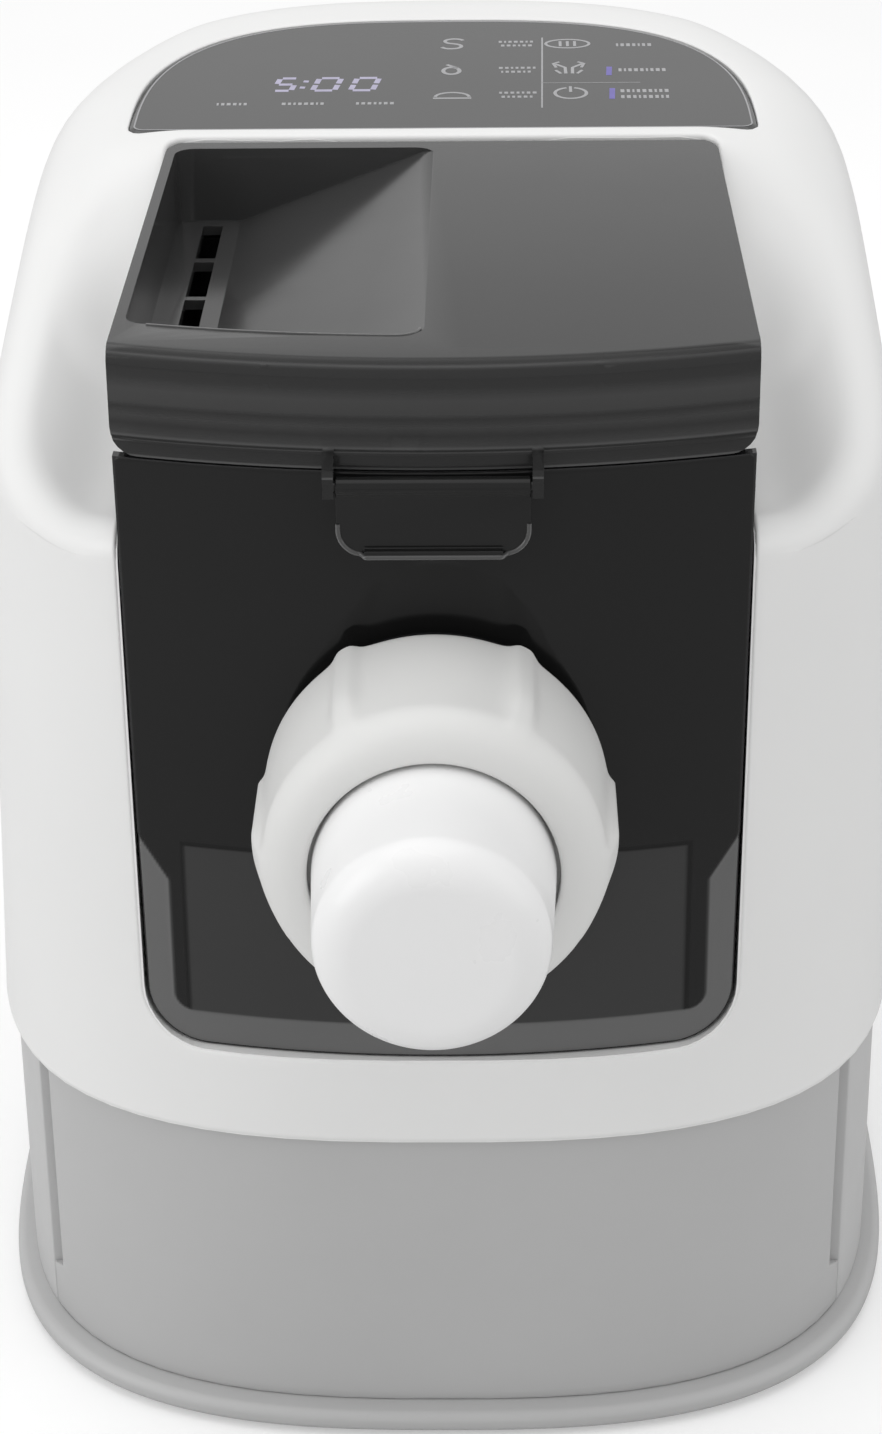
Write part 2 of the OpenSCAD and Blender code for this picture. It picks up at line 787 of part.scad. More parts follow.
module die_gasket() {
    color(black) place() difference() {
        rod(out_c, 29.5, nut_front + 8, barrel_end);
        rod(out_c, 25.5, nut_front, barrel_end + over);
    }
}

module nozzle_cap() {
    back = nut_front + 3.5;
    length = back - cap_front;
    front_r = 24.8;
    round = 9;
    t = 2.1;
    color(white) place() difference() {
        turned(back) polygon(concat(
            [[0, 0], [cap_r, 0]],
            arc([front_r - round, length - round], round, 0, 90, 10),
            [[0, length]]
        ));
        turned(back + over) polygon([
            [0, 0], [24.1, 0], [24.1, 22], [21.5, length - 9], [16, length - t + over], [0, length - t + over]
        ]);
    }
}

// ---------- kneading and drive ----------

hub_back = 5.2;
arm_r = 4.5;
loop_r = 46;

module auger() {
    screw_front = nut_front + 12;
    screw_l = 84;
    socket = 30;
    color(frosted) place() {
        difference() {
            union() {
                rod(out_c, 11, hub_back - socket - 6, hub_back, 48);
                rod(out_c, 8, screw_front, hub_back - socket, 48);
                // Two kneading loops, one each side of the shaft
                for (a = [20, 200]) translate([0, 0, nozzle_h]) rotate([0, a, 0]) {
                    rod([0, loop_r], arm_r, -92, -20, 32);
                    for (y = [-92, -20]) {
                        translate([0, y, 0]) cylinder(r = arm_r, h = loop_r, $fn = 32);
                        translate([0, y, loop_r]) sphere(r = arm_r, $fn = 32);
                    }
                }
            }
            rod(out_c, (hex_flats + 0.3) / sqrt(3), hub_back - socket, hub_back + over, 6);
        }
        auger_flight(screw_front + 1, screw_l, 30);
    }
}

// One flight of the feed screw, a sector twisted along the shaft
module auger_flight(front, length, pitch) {
    tip = barrel_r - 0.8;
    half = 24;
    translate([0, front + length, nozzle_h]) rotate([90, 0, 0])
        linear_extrude(length, twist = -360 * length / pitch, slices = 54, $fn = 9)
            polygon(concat([[5, -2]], arc([0, 0], tip, -half, half, 5), [[5, 2]]));
}

module shaft_seal() {
    color(black) place() turned(chamber_back + 1.5) polygon([
        [shaft_r + run_gap, 0], [15, 0], [15, 1.5], [13, 1.5], [13, 1.5 + clear_wall],
        [9, 1.5 + clear_wall], [shaft_r + run_gap, 1.5 + clear_wall]
    ]);
}

module drive_shaft() {
    color(steel) place() {
        rod(out_c, shaft_r, hub_back + room, 59, 48);
        rod(out_c, hex_flats / sqrt(3), hub_back - 27, hub_back + room + over, 6);
    }
}

// Ball bearing drawn as its two rings and the closed ball space between them
module bearing(inner, outer, y0, y1) {
    mid = (inner + outer) / 2;
    difference() {
        rod(out_c, outer, y0, y1);
        rod(out_c, inner, y0 - over, y1 + over);
        for (y = [y0, y1]) turned(y + 0.6) polygon([
            [mid - 1.2, 0], [mid + 1.2, 0], [mid + 1.2, 1.2], [mid - 1.2, 1.2]
        ]);
    }
}

module output_bearings() {
    color(steel) place() {
        bearing(shaft_r + run_gap, 13, 16, 24);
        bearing(shaft_r + run_gap, 12, 50, 58);
    }
}

// Involute flank: point where the flank crosses radius r, and the angle it has turned
function involute_turn(base, r) = let (a = acos(min(1, base / r))) tan(a) * 180 / PI - a;

// Spur gear outline. Each tooth has involute flanks with a little backlash.
function gear_outline(teeth, m) =
    let (
        pitch = m * teeth / 2, base = pitch * cos(20), root = pitch - 1.2 * m, tip = pitch + 0.95 * m,
        low = max(base * 1.0005, root),
        half = 90 / teeth - 2.4 / pitch + involute_turn(base, pitch),
        radii = [low, (low + tip) / 2, tip]
    )
    [
        for (i = [0:teeth - 1]) let (mid = 360 * i / teeth)
            each concat(
                [root * [cos(mid - half - 0.8), sin(mid - half - 0.8)]],
                [for (r = radii) let (a = mid - half + involute_turn(base, r)) r * [cos(a), sin(a)]],
                [for (k = [2, 1, 0])
                    let (r = radii[k], a = mid + half - involute_turn(base, r)) r * [cos(a), sin(a)]],
                [root * [cos(mid + half + 0.8), sin(mid + half + 0.8)]]
            )
    ];

// Gear wheel at axis c between the planes, turned by phase, seen from the front
module gear(c, teeth, m, planes, phase) {
    translate([c[0], planes[1], c[1]]) rotate([90, 0, 0])
        rotate(phase) linear_extrude(planes[1] - planes[0]) polygon(gear_outline(teeth, m));
}

// Phase of a gear in mesh: its tooth gap faces the partner's tooth along the line of centres
function bearing_to(from, to) = atan2(to[1] - from[1], to[0] - from[0]);
function mesh_phase(c, teeth, partner, partner_teeth, partner_phase) =
    let (
        away = bearing_to(partner, c),
        partner_offset = (away - partner_phase) * partner_teeth / 360,
        back = bearing_to(c, partner)
    )
    back + (0.5 + partner_offset) * 360 / teeth;

out_phase = 0;
second_pinion_phase = mesh_phase(second_c, output_pinion_teeth, out_c, output_teeth, out_phase);
second_wheel_phase = second_pinion_phase;
first_pinion_phase = mesh_phase(first_c, pinion_teeth, second_c, wheel_teeth, second_wheel_phase);
first_wheel_phase = first_pinion_phase;
motor_phase = mesh_phase(motor_c, pinion_teeth, first_c, wheel_teeth, first_wheel_phase);

module output_gear() {
    color(bronze) place() difference() {
        gear(out_c, output_teeth, slow_module, plane_c, out_phase);
        rod(out_c, shaft_r, 0, 80, 48);
        for (i = [0:5])
            rod(out_c + 21 * [cos(60 * i), sin(60 * i)], 6, plane_c[0] - over, plane_c[1] + over, 32);
    }
}

module compound_gear(c, wheel_plane, small_plane, wheel_m, small_teeth, phase) {
    difference() {
        union() {
            gear(c, wheel_teeth, wheel_m, wheel_plane, phase);
            gear(c, small_teeth, slow_module, small_plane, phase);
            rod(c, 5, small_plane[1] - over, wheel_plane[0] + over, 32);
        }
        rod(c, axle_r + run_gap, 0, 80, 48);
        for (i = [0:5])
            rod(c + 15 * [cos(60 * i), sin(60 * i)], 3.5, wheel_plane[0] - over, wheel_plane[1] + over, 32);
    }
}

module second_gear() {
    color(frosted) place()
        compound_gear(second_c, plane_b, plane_c, slow_module, output_pinion_teeth, second_pinion_phase);
}

module first_gear() {
    color(frosted) place()
        compound_gear(first_c, plane_a, plane_b, fast_module, pinion_teeth, first_pinion_phase);
}

module gear_axles() {
    color(steel) place() for (c = [second_c, first_c]) rod(c, axle_r, box_front + 1.5, box_back + 2, 48);
}

// Outline round the gear train, seen from the front
module gearbox_outline(extra) {
    hull() {
        for (a = [[out_c, 38], [second_c, 33], [first_c, 27], [motor_c, 15]])
            translate(a[0]) circle(r = a[1] + extra, $fn = 48);
    }
}

box_lugs = [
    out_c + 43 * [cos(45), sin(45)], out_c + 43 * [cos(172), sin(172)],
    second_c + 38 * [cos(-30), sin(-30)], first_c + 32 * [cos(-90), sin(-90)]
];

module gearbox_housing() {
    color(grey) place() difference() {
        union() {
            slab(box_front, box_back) gearbox_outline(3);
            rod(out_c, 16, 15, box_front + over);
            for (c = box_lugs) rod(c, 5, box_back - 14, box_back, 32);
        }
        slab(box_front + 3, box_back + over) gearbox_outline(0);
        rod(out_c, 13, 16, box_front + 4);
        rod(out_c, 10, 10, 20);
        for (c = [second_c, first_c]) rod(c, axle_r, box_front + 1.5, box_front + 4, 48);
        for (c = box_lugs) rod(c, 1.6, box_back - 12, box_back + over, 24);
    }
}

module gearbox_cover() {
    color(grey) place() difference() {
        union() {
            slab(box_back, box_back + cover_t) gearbox_outline(3);
            for (c = box_lugs) rod(c, 5, box_back, box_back + cover_t, 32);
            rod(out_c, 15, 49, box_back + over);
        }
        rod(out_c, 12, 48, 58);
        rod(out_c, shaft_r + 1, 55, 59.5);
        for (c = [second_c, first_c]) rod(c, axle_r, box_back - over, box_back + 2, 48);
        rod(motor_c, 10, box_back - over, box_back + cover_t + over);
        for (c = box_lugs) rod(c, 1.9, box_back - over, box_back + cover_t + over, 24);
    }
}

frame_feet = [[-62, 82], [-62, 100], [52, 82], [52, 100]];
motor_bolts = [motor_c + 24 * [cos(60), sin(60)], motor_c - 24 * [cos(60), sin(60)]];

module drive_frame() {
    color(steel) place() difference() {
        union() {
            slab(frame_front, frame_front + frame_t) polygon([
                [-72, shell_low], [82, shell_low], [82, 146], [44, 226], [-36, 226], [-72, 190]
            ]);
            both_sides_of_frame();
        }
        rod(motor_c, 10, frame_front - over, motor_front + over);
        for (c = box_lugs) rod(c, 1.9, frame_front - over, motor_front + over, 24);
        for (c = motor_bolts) rod(c, 2.1, frame_front - over, motor_front + over, 24);
        for (p = frame_feet) translate([p[0], p[1], shell_low - over]) cylinder(r = 2.1, h = 6, $fn = 24);
        rod([46, 180], 8, frame_front - over, motor_front + over);
    }
}

// Bottom flanges and gussets that stand the frame on the deck
module both_sides_of_frame() {
    for (x = [-72, 42]) {
        box([x, frame_front, shell_low], [x + 20, 110, shell_low + frame_t]);
        side = x < 0 ? x : x + 18;
        translate([side, 0, 0]) rotate([90, 0, 90]) linear_extrude(frame_t)
            polygon([
                [frame_front, shell_low], [110, shell_low], [frame_front + frame_t, 140], [frame_front, 140]
            ]);
    }
}

// ---------- motor ----------

magnet_r = [30.5, 33.8];

module motor_can() {
    color(steel) place() difference() {
        union() {
            rod(motor_c, motor_r, motor_front, motor_front + motor_l - 10, 96);
            rod(motor_c, 10, box_back + 1, motor_front + over, 48);
        }
        rod(motor_c, magnet_r[1], motor_front + 2.5, motor_front + motor_l, 96);
        rod(motor_c, motor_shaft_r + run_gap, 40, 90, 48);
        for (c = motor_bolts) rod(c, 1.7, motor_front - over, motor_front + 4, 24);
    }
}

module motor_magnets() {
    color(black) place() difference() {
        rod(motor_c, magnet_r[1], motor_front + 8, motor_front + 46, 96);
        rod(motor_c, magnet_r[0], motor_front, motor_front + 60, 96);
        for (s = [0, 180]) translate([motor_c[0], 0, motor_c[1]]) rotate([0, s, 0])
            box([-50, motor_front, -12], [0, motor_front + 60, 12]);
    }
}

module motor_end_cap() {
    cap_y = motor_front + motor_l - 10;
    color(black) place() difference() {
        union() {
            rod(motor_c, motor_r, cap_y, cap_y + 6, 96);
            rod(motor_c, 11, cap_y, cap_y + 10, 48);
        }
        rod(motor_c, 30, cap_y - over, cap_y + 3, 96);
        rod(motor_c, motor_shaft_r + run_gap, 0, 200, 48);
        for (i = [0:7]) rod(motor_c + 22 * [cos(45 * i), sin(45 * i)], 4, cap_y - over, cap_y + 8, 32);
    }
}

module motor_rotor() {
    core = [motor_front + 8, motor_front + 46];
    color(steel) place() difference() {
        union() {
            rod(motor_c, motor_shaft_r, plane_a[0] - 1, motor_front + motor_l + 14, 48);
            rod(motor_c, 29.6, core[0], core[1], 96);
            rod(motor_c, 20, core[0] - 4, core[1] + 3, 64);
        }
        // Winding slots
        for (i = [0:11]) translate([motor_c[0], 0, motor_c[1]]) rotate([0, 30 * i, 0])
            box([-1.5, core[0] - over, 22], [1.5, core[1] + over, 31]);
    }
}

module motor_pinion() {
    color(steel) place() difference() {
        gear(motor_c, pinion_teeth, fast_module, [plane_a[0], plane_a[1] - 0.5], motor_phase);
        rod(motor_c, motor_shaft_r, 0, 80, 48);
    }
}

fan_y = motor_front + motor_l + 2;

module cooling_fan() {
    blades = 9;
    color(black) place() difference() {
        union() {
            rod(motor_c, 9, fan_y, fan_y + 10, 48);
            rod(motor_c, 33, fan_y + 8.5, fan_y + 10, 64);
            for (i = [0:blades - 1]) translate([motor_c[0], 0, motor_c[1]]) rotate([0, 360 / blades * i, 0])
                translate([0, fan_y, 0]) rotate([0, 18, 0]) cube([1.5, 9, 32]);
        }
        rod(motor_c, motor_shaft_r, 0, 200, 48);
    }
}

// ---------- electrics ----------

board_z = ring_top + 8;

module main_board() {
    top = board_z + 1.6;
    color(board_green) place() difference() {
        union() {
            box([-72, 36, board_z], [72, 134, top]);
            // Transformer, relay, heat sink and capacitors
            box([-60, 60, top], [-28, 92, top + 24]);
            box([-18, 62, top], [2, 78, top + 16]);
            for (i = [0:6]) box([14, 56 + 6 * i, top], [34, 58 + 6 * i, top + 26]);
            box([14, 56, top], [34, 94, top + 4]);
            for (x = [46, 60]) translate([x, 70, top]) cylinder(r = 6, h = 22, $fn = 32);
            box([-40, 110, top], [-10, 120, top + 10]);
        }
        for (p = board_posts) translate([p[0], p[1], board_z - over]) cylinder(r = 1.7, h = 5, $fn = 24);
    }
}

board_gap = 9;
screen = [[-46, 18], [-2, 44]];
touch_places = [[-54, 12], [-28, 12], [10, 16], [10, 34], [10, 52], [52, 14], [52, 33], [52, 52]];

module control_board() {
    color(board_green) place() on_panel_plane() difference() {
        translate([-66, 8, -panel_t - board_gap - 1.6]) cube([132, 56, 1.6]);
        both_sides() for (y = [12, 60]) translate([61, y, -20]) cylinder(r = 1.7, h = 20, $fn = 24);
    }
}

module display_module() {
    low = screen[0];
    high = screen[1];
    color(black) place() on_panel_plane()
        translate([low[0], low[1], -panel_t - board_gap])
            cube([high[0] - low[0], high[1] - low[1], board_gap - 0.3]);
}

module touch_springs() {
    color(steel) place() on_panel_plane() for (p = touch_places)
        if (p[0] > 0 || p[1] < 14) translate([p[0], p[1], -panel_t - board_gap])
            difference() {
                cylinder(r = 3.2, h = board_gap, $fn = 32);
                translate([0, 0, -over]) cylinder(r = 2.4, h = board_gap + 2 * over, $fn = 32);
            }
}

module lid_switch() {
    y = channel_back + wall;
    color(black) place() union() {
        box([38, y, 240], [58, y + 7, 250]);
        for (x = [41, 48, 55]) box([x - 1.5, y + 7, 243], [x + 1.5, y + 11, 247]);
    }
}

module power_inlet() {
    back = base_b - 1.4;
    color(black) place() difference() {
        box([-14.7, back - 22, 26.3], [14.7, back, 45.7]);
        box([-11, back - 14, 30], [11, back + over, 42]);
    }
    color(steel) place() for (x = [-4.3, 4.3]) rod([x, 36], 1.2, back - 16, back - 3, 24);
}

// ---------- fasteners ----------

// Round-headed screw at the origin, pointing along +Z
module screw(r, length, head_r, head_h) {
    cylinder(r = r, h = length, $fn = 24);
    translate([0, 0, -head_h]) cylinder(r = head_r, h = head_h, $fn = 32);
}

module base_screws() {
    color(steel) place() {
        for (p = plate_bosses) translate([p[0], p[1], foot_h + 2]) screw(1.4, 16, 3, 1.6);
        for (p = shell_bosses) translate([p[0], p[1], shell_low - deck_t]) screw(1.6, 20, 3.2, 2);
    }
}

module gearbox_screws() {
    color(steel) place() for (c = box_lugs)
        translate([c[0], motor_front, c[1]]) rotate([90, 0, 0]) screw(1.6, 15, 3.4, 2.2);
}

module frame_screws() {
    color(steel) place() {
        for (p = frame_feet)
            translate([p[0], p[1], shell_low + frame_t]) mirror([0, 0, 1]) screw(2, 4.8, 3.6, 2.4);
    }
}

module board_screws() {
    color(steel) place() for (p = board_posts)
        translate([p[0], p[1], board_z + 1.6]) mirror([0, 0, 1]) screw(1.2, 7, 2.6, 1.8);
}

main_shell();
control_panel();
base_housing();
base_plate();
rubber_feet();
storage_drawer();
mixing_chamber();
chamber_lid();
lid_hinge_pin();
lid_latch();
latch_pin();
nozzle_nut();
nozzle_cap();
pasta_die();
die_gasket();
auger();
shaft_seal();
drive_shaft();
output_bearings();
output_gear();
second_gear();
first_gear();
gear_axles();
gearbox_housing();
gearbox_cover();
drive_frame();
motor_can();
motor_magnets();
motor_end_cap();
motor_rotor();
motor_pinion();
cooling_fan();
main_board();
control_board();
display_module();
touch_springs();
lid_switch();
power_inlet();
base_screws();
gearbox_screws();
frame_screws();
board_screws();
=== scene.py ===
"""Electric pasta maker: the finished look of the machine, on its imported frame.

Lengths inside the shape functions are millimetres about the body's centre line,
with the front towards -y. put() sets them into the machine's frame, in metres.
"""
import json
import math

import bmesh
import bpy
import numpy as np
from mathutils import Matrix, Vector

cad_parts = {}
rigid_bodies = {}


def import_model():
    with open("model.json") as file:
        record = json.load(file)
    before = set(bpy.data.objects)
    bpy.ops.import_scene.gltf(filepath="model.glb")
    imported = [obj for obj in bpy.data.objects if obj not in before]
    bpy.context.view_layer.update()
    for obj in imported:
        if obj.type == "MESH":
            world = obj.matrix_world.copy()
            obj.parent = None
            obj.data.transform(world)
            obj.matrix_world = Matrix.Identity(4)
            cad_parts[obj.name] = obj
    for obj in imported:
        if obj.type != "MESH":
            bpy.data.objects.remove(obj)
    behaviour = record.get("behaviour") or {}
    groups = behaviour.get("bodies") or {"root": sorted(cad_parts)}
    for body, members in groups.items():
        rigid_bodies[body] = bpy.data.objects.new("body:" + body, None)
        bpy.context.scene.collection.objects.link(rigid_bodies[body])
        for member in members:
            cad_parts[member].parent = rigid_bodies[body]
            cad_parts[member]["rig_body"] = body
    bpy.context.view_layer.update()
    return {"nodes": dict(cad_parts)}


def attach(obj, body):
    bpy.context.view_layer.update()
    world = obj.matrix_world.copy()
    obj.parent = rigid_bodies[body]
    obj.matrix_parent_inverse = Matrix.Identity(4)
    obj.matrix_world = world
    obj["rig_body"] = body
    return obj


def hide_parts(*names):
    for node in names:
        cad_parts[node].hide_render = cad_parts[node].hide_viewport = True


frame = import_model()

BODY_SHIFT = 37.0  # the body's centre lies this far behind the frame's origin
FAR = 99.0  # a distance past the reach of any cut

# ---------- measures of the machine, in millimetres ----------
# A pair named ..._STEP or after a side says where a soft step starts, and its length.
# A cut says how far an opening is grown, its lip's radius, and the depth of its wall.

# Plan outlines |x/a|^p + |y/b|^q = 1 of the shell's foot, the base and the foot ring
PLAN_P, PLAN_Q = 2.7, 4.2
BODY_W, BODY_D = 231.2, 306.0
BASE_A, BASE_B = 113.4, 150.8
RING_A, RING_B = 118.0, 157.0

# Shell: leaning walls, and shoulders and a top edge that change towards the back
SHELL_LOW, SKIN_PROUD = 85.0, 0.3
SIDE_DRAFT, FRONT_DRAFT, DRAFT_H = 7.1, 3.6, 180.0
SHOULDER_FRONT, SHOULDER_REAR, SHOULDER_STEP = 239.0, 283.0, (-105.0, 175.0)
EDGE_R, EDGE_GROWTH, EDGE_STEP = 9.0, 19.0, (-150.0, 240.0)
TOP_REACH = 0.985  # how much of the way to the middle the top's last row goes
SHELL_FOOT = ((3.2, 2.5), (3.2, -0.1), (1.2, -0.1), (0.6, 0.06), (0.18, 0.5))  # inset, height
FOOT_TURN = 1.1  # height at which the foot's rounding meets the wall
SHELL_COLUMNS = 1260
SHELL_ROWS = ((0, 1, 84), (1, 2, 14), (2, 2.8, 46), (2.8, 2.91, 24), (2.91, 2.97, 5))

# Finger hollows beside the lid, and the stretch where the top rises into the panel's plane
DISH_DEPTH, DISH_SIDE, DISH_FRONT, DISH_REAR = 7.0, (76.0, 26.0), (-148.0, 34.0), (-25.0, 50.0)
HEAD_SIDE, HEAD_FRONT = (66.0, 36.0), (-40.0, 60.0)
# The skin clears the shell's facets in the hollows, most of all in an oval swell
HOLLOW_PROUD, HOLLOW_SIDE, HOLLOW_FRONT, HOLLOW_REAR = 0.45, (104.0, 8.0), (-152.0, 10.0), (24.0, 16.0)
HOLLOW_SWELL, SWELL_X, SWELL_Y, SWELL_A, SWELL_B = 1.15, 79.0, -33.0, 17.0, 30.0

# A U seen from the front: half width at a height, how far it draws in over a length below,
# and the centre of its round lower corners
U_CORNER_R = 14.0
CHANNEL_U = (71.1, 310.0, 1.4, 188.4, 55.7, 121.6)
CHANNEL_BACK, CHANNEL_BACK_R = 20.6, 4.6
CHANNEL_CUT = (1.3, 1.2, 3.5)

# Control panel: a straight front edge and the arch |x/a|^p + |v/b|^q = 1 in a tilted plane
PANEL_Y, PANEL_Z, PANEL_TILT = 26.0, 279.0, math.radians(5)
PANEL_HALF, PANEL_LEN, PANEL_P, PANEL_Q, PANEL_CORNER_R = 82.0, 84.4, 3.0, 2.8, 4.0
PANEL_CUT = (0.75, 0.5, 2.0)
LENS_EDGE = ((0.0, -2.2), (0.0, -0.75), (0.12, -0.55), (1.2, -0.04), (1.4, 0.05))  # inset, height
LENS_MIDDLE_V = 36.0

# Air slots in the back: two rows, each of 2 * VENT_SIDE + 1 upright slots
VENT_PITCH, VENT_SIDE, VENT_ROWS, VENT_H, VENT_R = 8.0, 5, (155.0, 205.0), 26.0, 1.6
VENT_CUT = (0.1, 0.3, 2.2)

# Base and drawer: low and high edge, edge radius, and depth of the walls
BASE_PROUD = 0.1
BASE_BAND = (7.1, 84.8, 0.4, 3.0)
DRAWER_BAND = (7.4, 84.6, 0.6, 3.2)
SEAM_Y, SEAM_GAP = -110.0, 0.4
GRIP_WIDE, GRIP_STEP = 4.6, (19.6, 1.2)
INLET_HALF_X, INLET_HALF_Z, INLET_Z = 15.0, 10.0, 36.0
INLET_CUT = (0.6, 0.5, 2.0)

# Foot ring's outline as inset and height, from the underside to the ledge
RING_FOOT = ((8.0, 1.95), (1.2, 1.95), (0.45, 2.25), (0.05, 2.9), (-0.1, 3.6))
RING_EDGE_IN, RING_EDGE_Z, RING_EDGE_R = 2.3, 4.7, 2.4
RING_LEDGE = (7.5, 7.1)

# Window plate, its raised field and the sloping border round that
BOW_R = 250.0
WINDOW_TOP = 254.6
WINDOW_U = (70.2, WINDOW_TOP, 1.4, 132.6, 54.8, 122.0)
WINDOW_SET, WINDOW_PROUD = 0.6, 0.15
WINDOW_CUT = (0.7, 0.6, 2.6)
SHEET_X, SHEET_Z = (-72.5, 72.5, 270), (106.5, 256.5, 280)  # from, to, points
FIELD_HALF, FIELD_FLARE, FIELD_KNEE = 62.0, 0.64, 151.0
FIELD_LOW, FIELD_R, FIELD_INNER = 117.3, 4.0, -9.0
BORDER_DROP, BORDER_ROLL, BORDER_SLOPE, BORDER_W = 0.55, 1.1, 0.035, 9.0
# Tones painted on the plate: the pane's paler tone and its thin dark line are a painted view of the
# chamber's lit inside, and the border's pale tone is a painted reflection.
UPPER_SHADE, PANE_PAINTED_LIGHT, PANE_LINE_PAINTED_DARK, BORDER_PAINTED_REFLECTION = 0.008, 0.036, 0.002, 0.13
PANE_X, PANE_HALF, PANE_TOP, PANE_SOFT = -0.7, 58.0, 161.0, 0.8
LINE_AT, LINE_HALF, BORDER_SOFT = 0.3, 0.5, 0.9

# Grip nut: radii, lengths forwards from its back, and its ribs
NOZZLE_Z = 181.0
NUT_BACK, NUT_R, NUT_GROWTH, NUT_SIDE, NUT_EDGE_R = -155.0, 37.0, 1.2, 32.0, 9.0
NUT_BORE, NUT_MOUTH, NUT_STEP = 31.3, 27.0, 36.8
NUT_HEEL = ((37.0, 0.0), (37.7, 0.15), (38.15, 0.6))
NUT_LIP = ((27.5, 40.9), (27.1, 40.6), (27.0, 40.0))
RIB_HIGH, RIB_FADE = 2.9, (22.0, 17.0)
RIB_NARROW, RIB_ABOVE, RIB_BELOW = 3.0, 2.6, 11.0

# Cap: outer radius and taper, the oval of its front edge, its face, and the hollow behind
CAP_BACK, CAP_L, CAP_R, CAP_TAPER, CAP_SIDE = -192.5, 38.5, 26.2, 1.4, 29.5
CAP_FACE_R, CAP_EDGE_A, CAP_EDGE_B, CAP_CROWN = 15.8, 9.0, 8.7, 0.3
CAP_HOLLOW = ((0.0, 36.4), (15.0, 36.4), (21.0, 30.0), (24.0, 21.0), (24.1, 0.0))
CAP_HEEL = ((25.8, 0.0), (26.15, 0.35))

# Lid, finger tab and pouring tray
LID_TOP, SKIRT_LOW, SKIRT_REAR = 279.0, 255.0, -136.8
# LID_SHADE is the lid's own tint. The shade at the skirt's edge and the bands below are painted: painted
# shadow bands and painted highlight lines on the skirt.
LID_SHADE, SKIRT_EDGE_PAINTED_SHADE = 0.066, 0.02
SKIRT_PAINTED_BANDS = (  # height above the skirt's edge, shade
    (0.1, 0.10), (0.3, 0.12), (0.7, 0.030), (3.7, 0.022), (4.2, 0.010), (4.6, 0.11), (5.2, 0.055),
    (7.5, 0.030), (9.4, 0.055), (11.3, 0.030), (12.4, 0.062), (15.4, 0.070), (18.4, 0.036),
    (22.1, 0.034), (22.8, 0.080), (23.2, 0.012), (23.8, 0.014),
)
LATCH_FACE, LATCH_LOW, LATCH_HALF, LATCH_CORNER_R = -153.7, 237.0, 21.0, 6.0
LATCH_IN, LATCH_UP, LATCH_BEAD = 0.4, 1.5, 0.55
GRIP_LIP, GRIP_LIP_IN, GRIP_LIP_TURN = 1.9, 0.9, 1.4
TRAY_FRONT, TRAY_LEFT, TRAY_RIGHT, TRAY_CORNER_R = -130.8, -63.0, -8.0, 5.0
TRAY_BEAD, TRAY_SUNK = 0.42, 0.12


# ---------- meshes from arrays ----------

def sheet_faces(rows, cols, wrap=False):
    """Quads of a grid of points, row by row. With wrap, the last column joins the first."""
    r = np.arange(rows - 1)[:, None]
    c = np.arange(cols if wrap else cols - 1)[None, :]
    nxt = (c + 1) % cols
    quads = np.stack([r * cols + c, r * cols + nxt, (r + 1) * cols + nxt, (r + 1) * cols + c], -1)
    return quads.reshape(-1, 4)


def sheet(points, wrap=False):
    """The one (points, faces) pair of a plain grid of points."""
    return [(points, sheet_faces(*points.shape[:2], wrap=wrap))]


def join(parts):
    """One vertex array and one face list from several (points, faces) pairs."""
    points, faces, start = [], [], 0
    for p, f in parts:
        p = np.asarray(p, float).reshape(-1, 3)
        points.append(p)
        faces += (np.asarray(f) + start).tolist()
        start += len(p)
    return np.concatenate(points), faces


def smooth_piece(mesh, body, material, sharp):
    """A piece from a mesh, smooth below the angle sharp, riding on its body."""
    mesh.materials.clear()
    mesh.materials.append(material)
    mesh.shade_smooth()
    mesh.set_sharp_from_angle(angle=math.radians(sharp))
    piece = bpy.data.objects.new(mesh.name, mesh)
    bpy.context.scene.collection.objects.link(piece)
    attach(piece, body)
    return piece


def put(name, parts, body, material, sharp=38.0):
    """Makes a piece from (points, faces) pairs, set into the frame."""
    points, faces = join(parts)
    points = (points + (0.0, BODY_SHIFT, 0.0)) / 1000.0
    mesh = bpy.data.meshes.new(name)
    mesh.from_pydata(points.tolist(), [], faces)
    mesh.validate()
    tidy = bmesh.new()
    tidy.from_mesh(mesh)
    bmesh.ops.remove_doubles(tidy, verts=tidy.verts, dist=2e-6)
    tidy.to_mesh(mesh)
    tidy.free()
    piece = smooth_piece(mesh, body, material, sharp)
    return piece


def softened(node, material, width, sharp=32.0, segments=2):
    """A copy of a frame node with its corners merged and its edges rounded by width."""
    source = frame["nodes"][node]
    mesh = bpy.data.meshes.new(node + "_soft")
    tidy = bmesh.new()
    tidy.from_mesh(source.data)
    bmesh.ops.remove_doubles(tidy, verts=tidy.verts, dist=4e-6)
    flat = math.radians(0.15)
    bmesh.ops.dissolve_limit(tidy, angle_limit=flat, verts=tidy.verts, edges=tidy.edges)
    tidy.to_mesh(mesh)
    tidy.free()
    piece = smooth_piece(mesh, source["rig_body"], material, sharp)
    bevel = piece.modifiers.new("edges", "BEVEL")
    bevel.width = width / 1000.0
    bevel.segments = segments
    bevel.limit_method = "ANGLE"
    bevel.angle_limit = math.radians(sharp)
    bevel.harden_normals = True
    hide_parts(node)


# ---------- curves and surfaces of the body ----------

def smooth(t):
    """0 before t = 0, 1 after t = 1, and the soft step 3t^2 - 2t^3 between them."""
    t = np.clip(t, 0.0, 1.0)
    return t * t * (3.0 - 2.0 * t)


def step_over(v, stretch):
    """Soft step from 0 to 1 over a stretch, which is its start and its length."""
    start, length = stretch
    return smooth((v - start) / length)


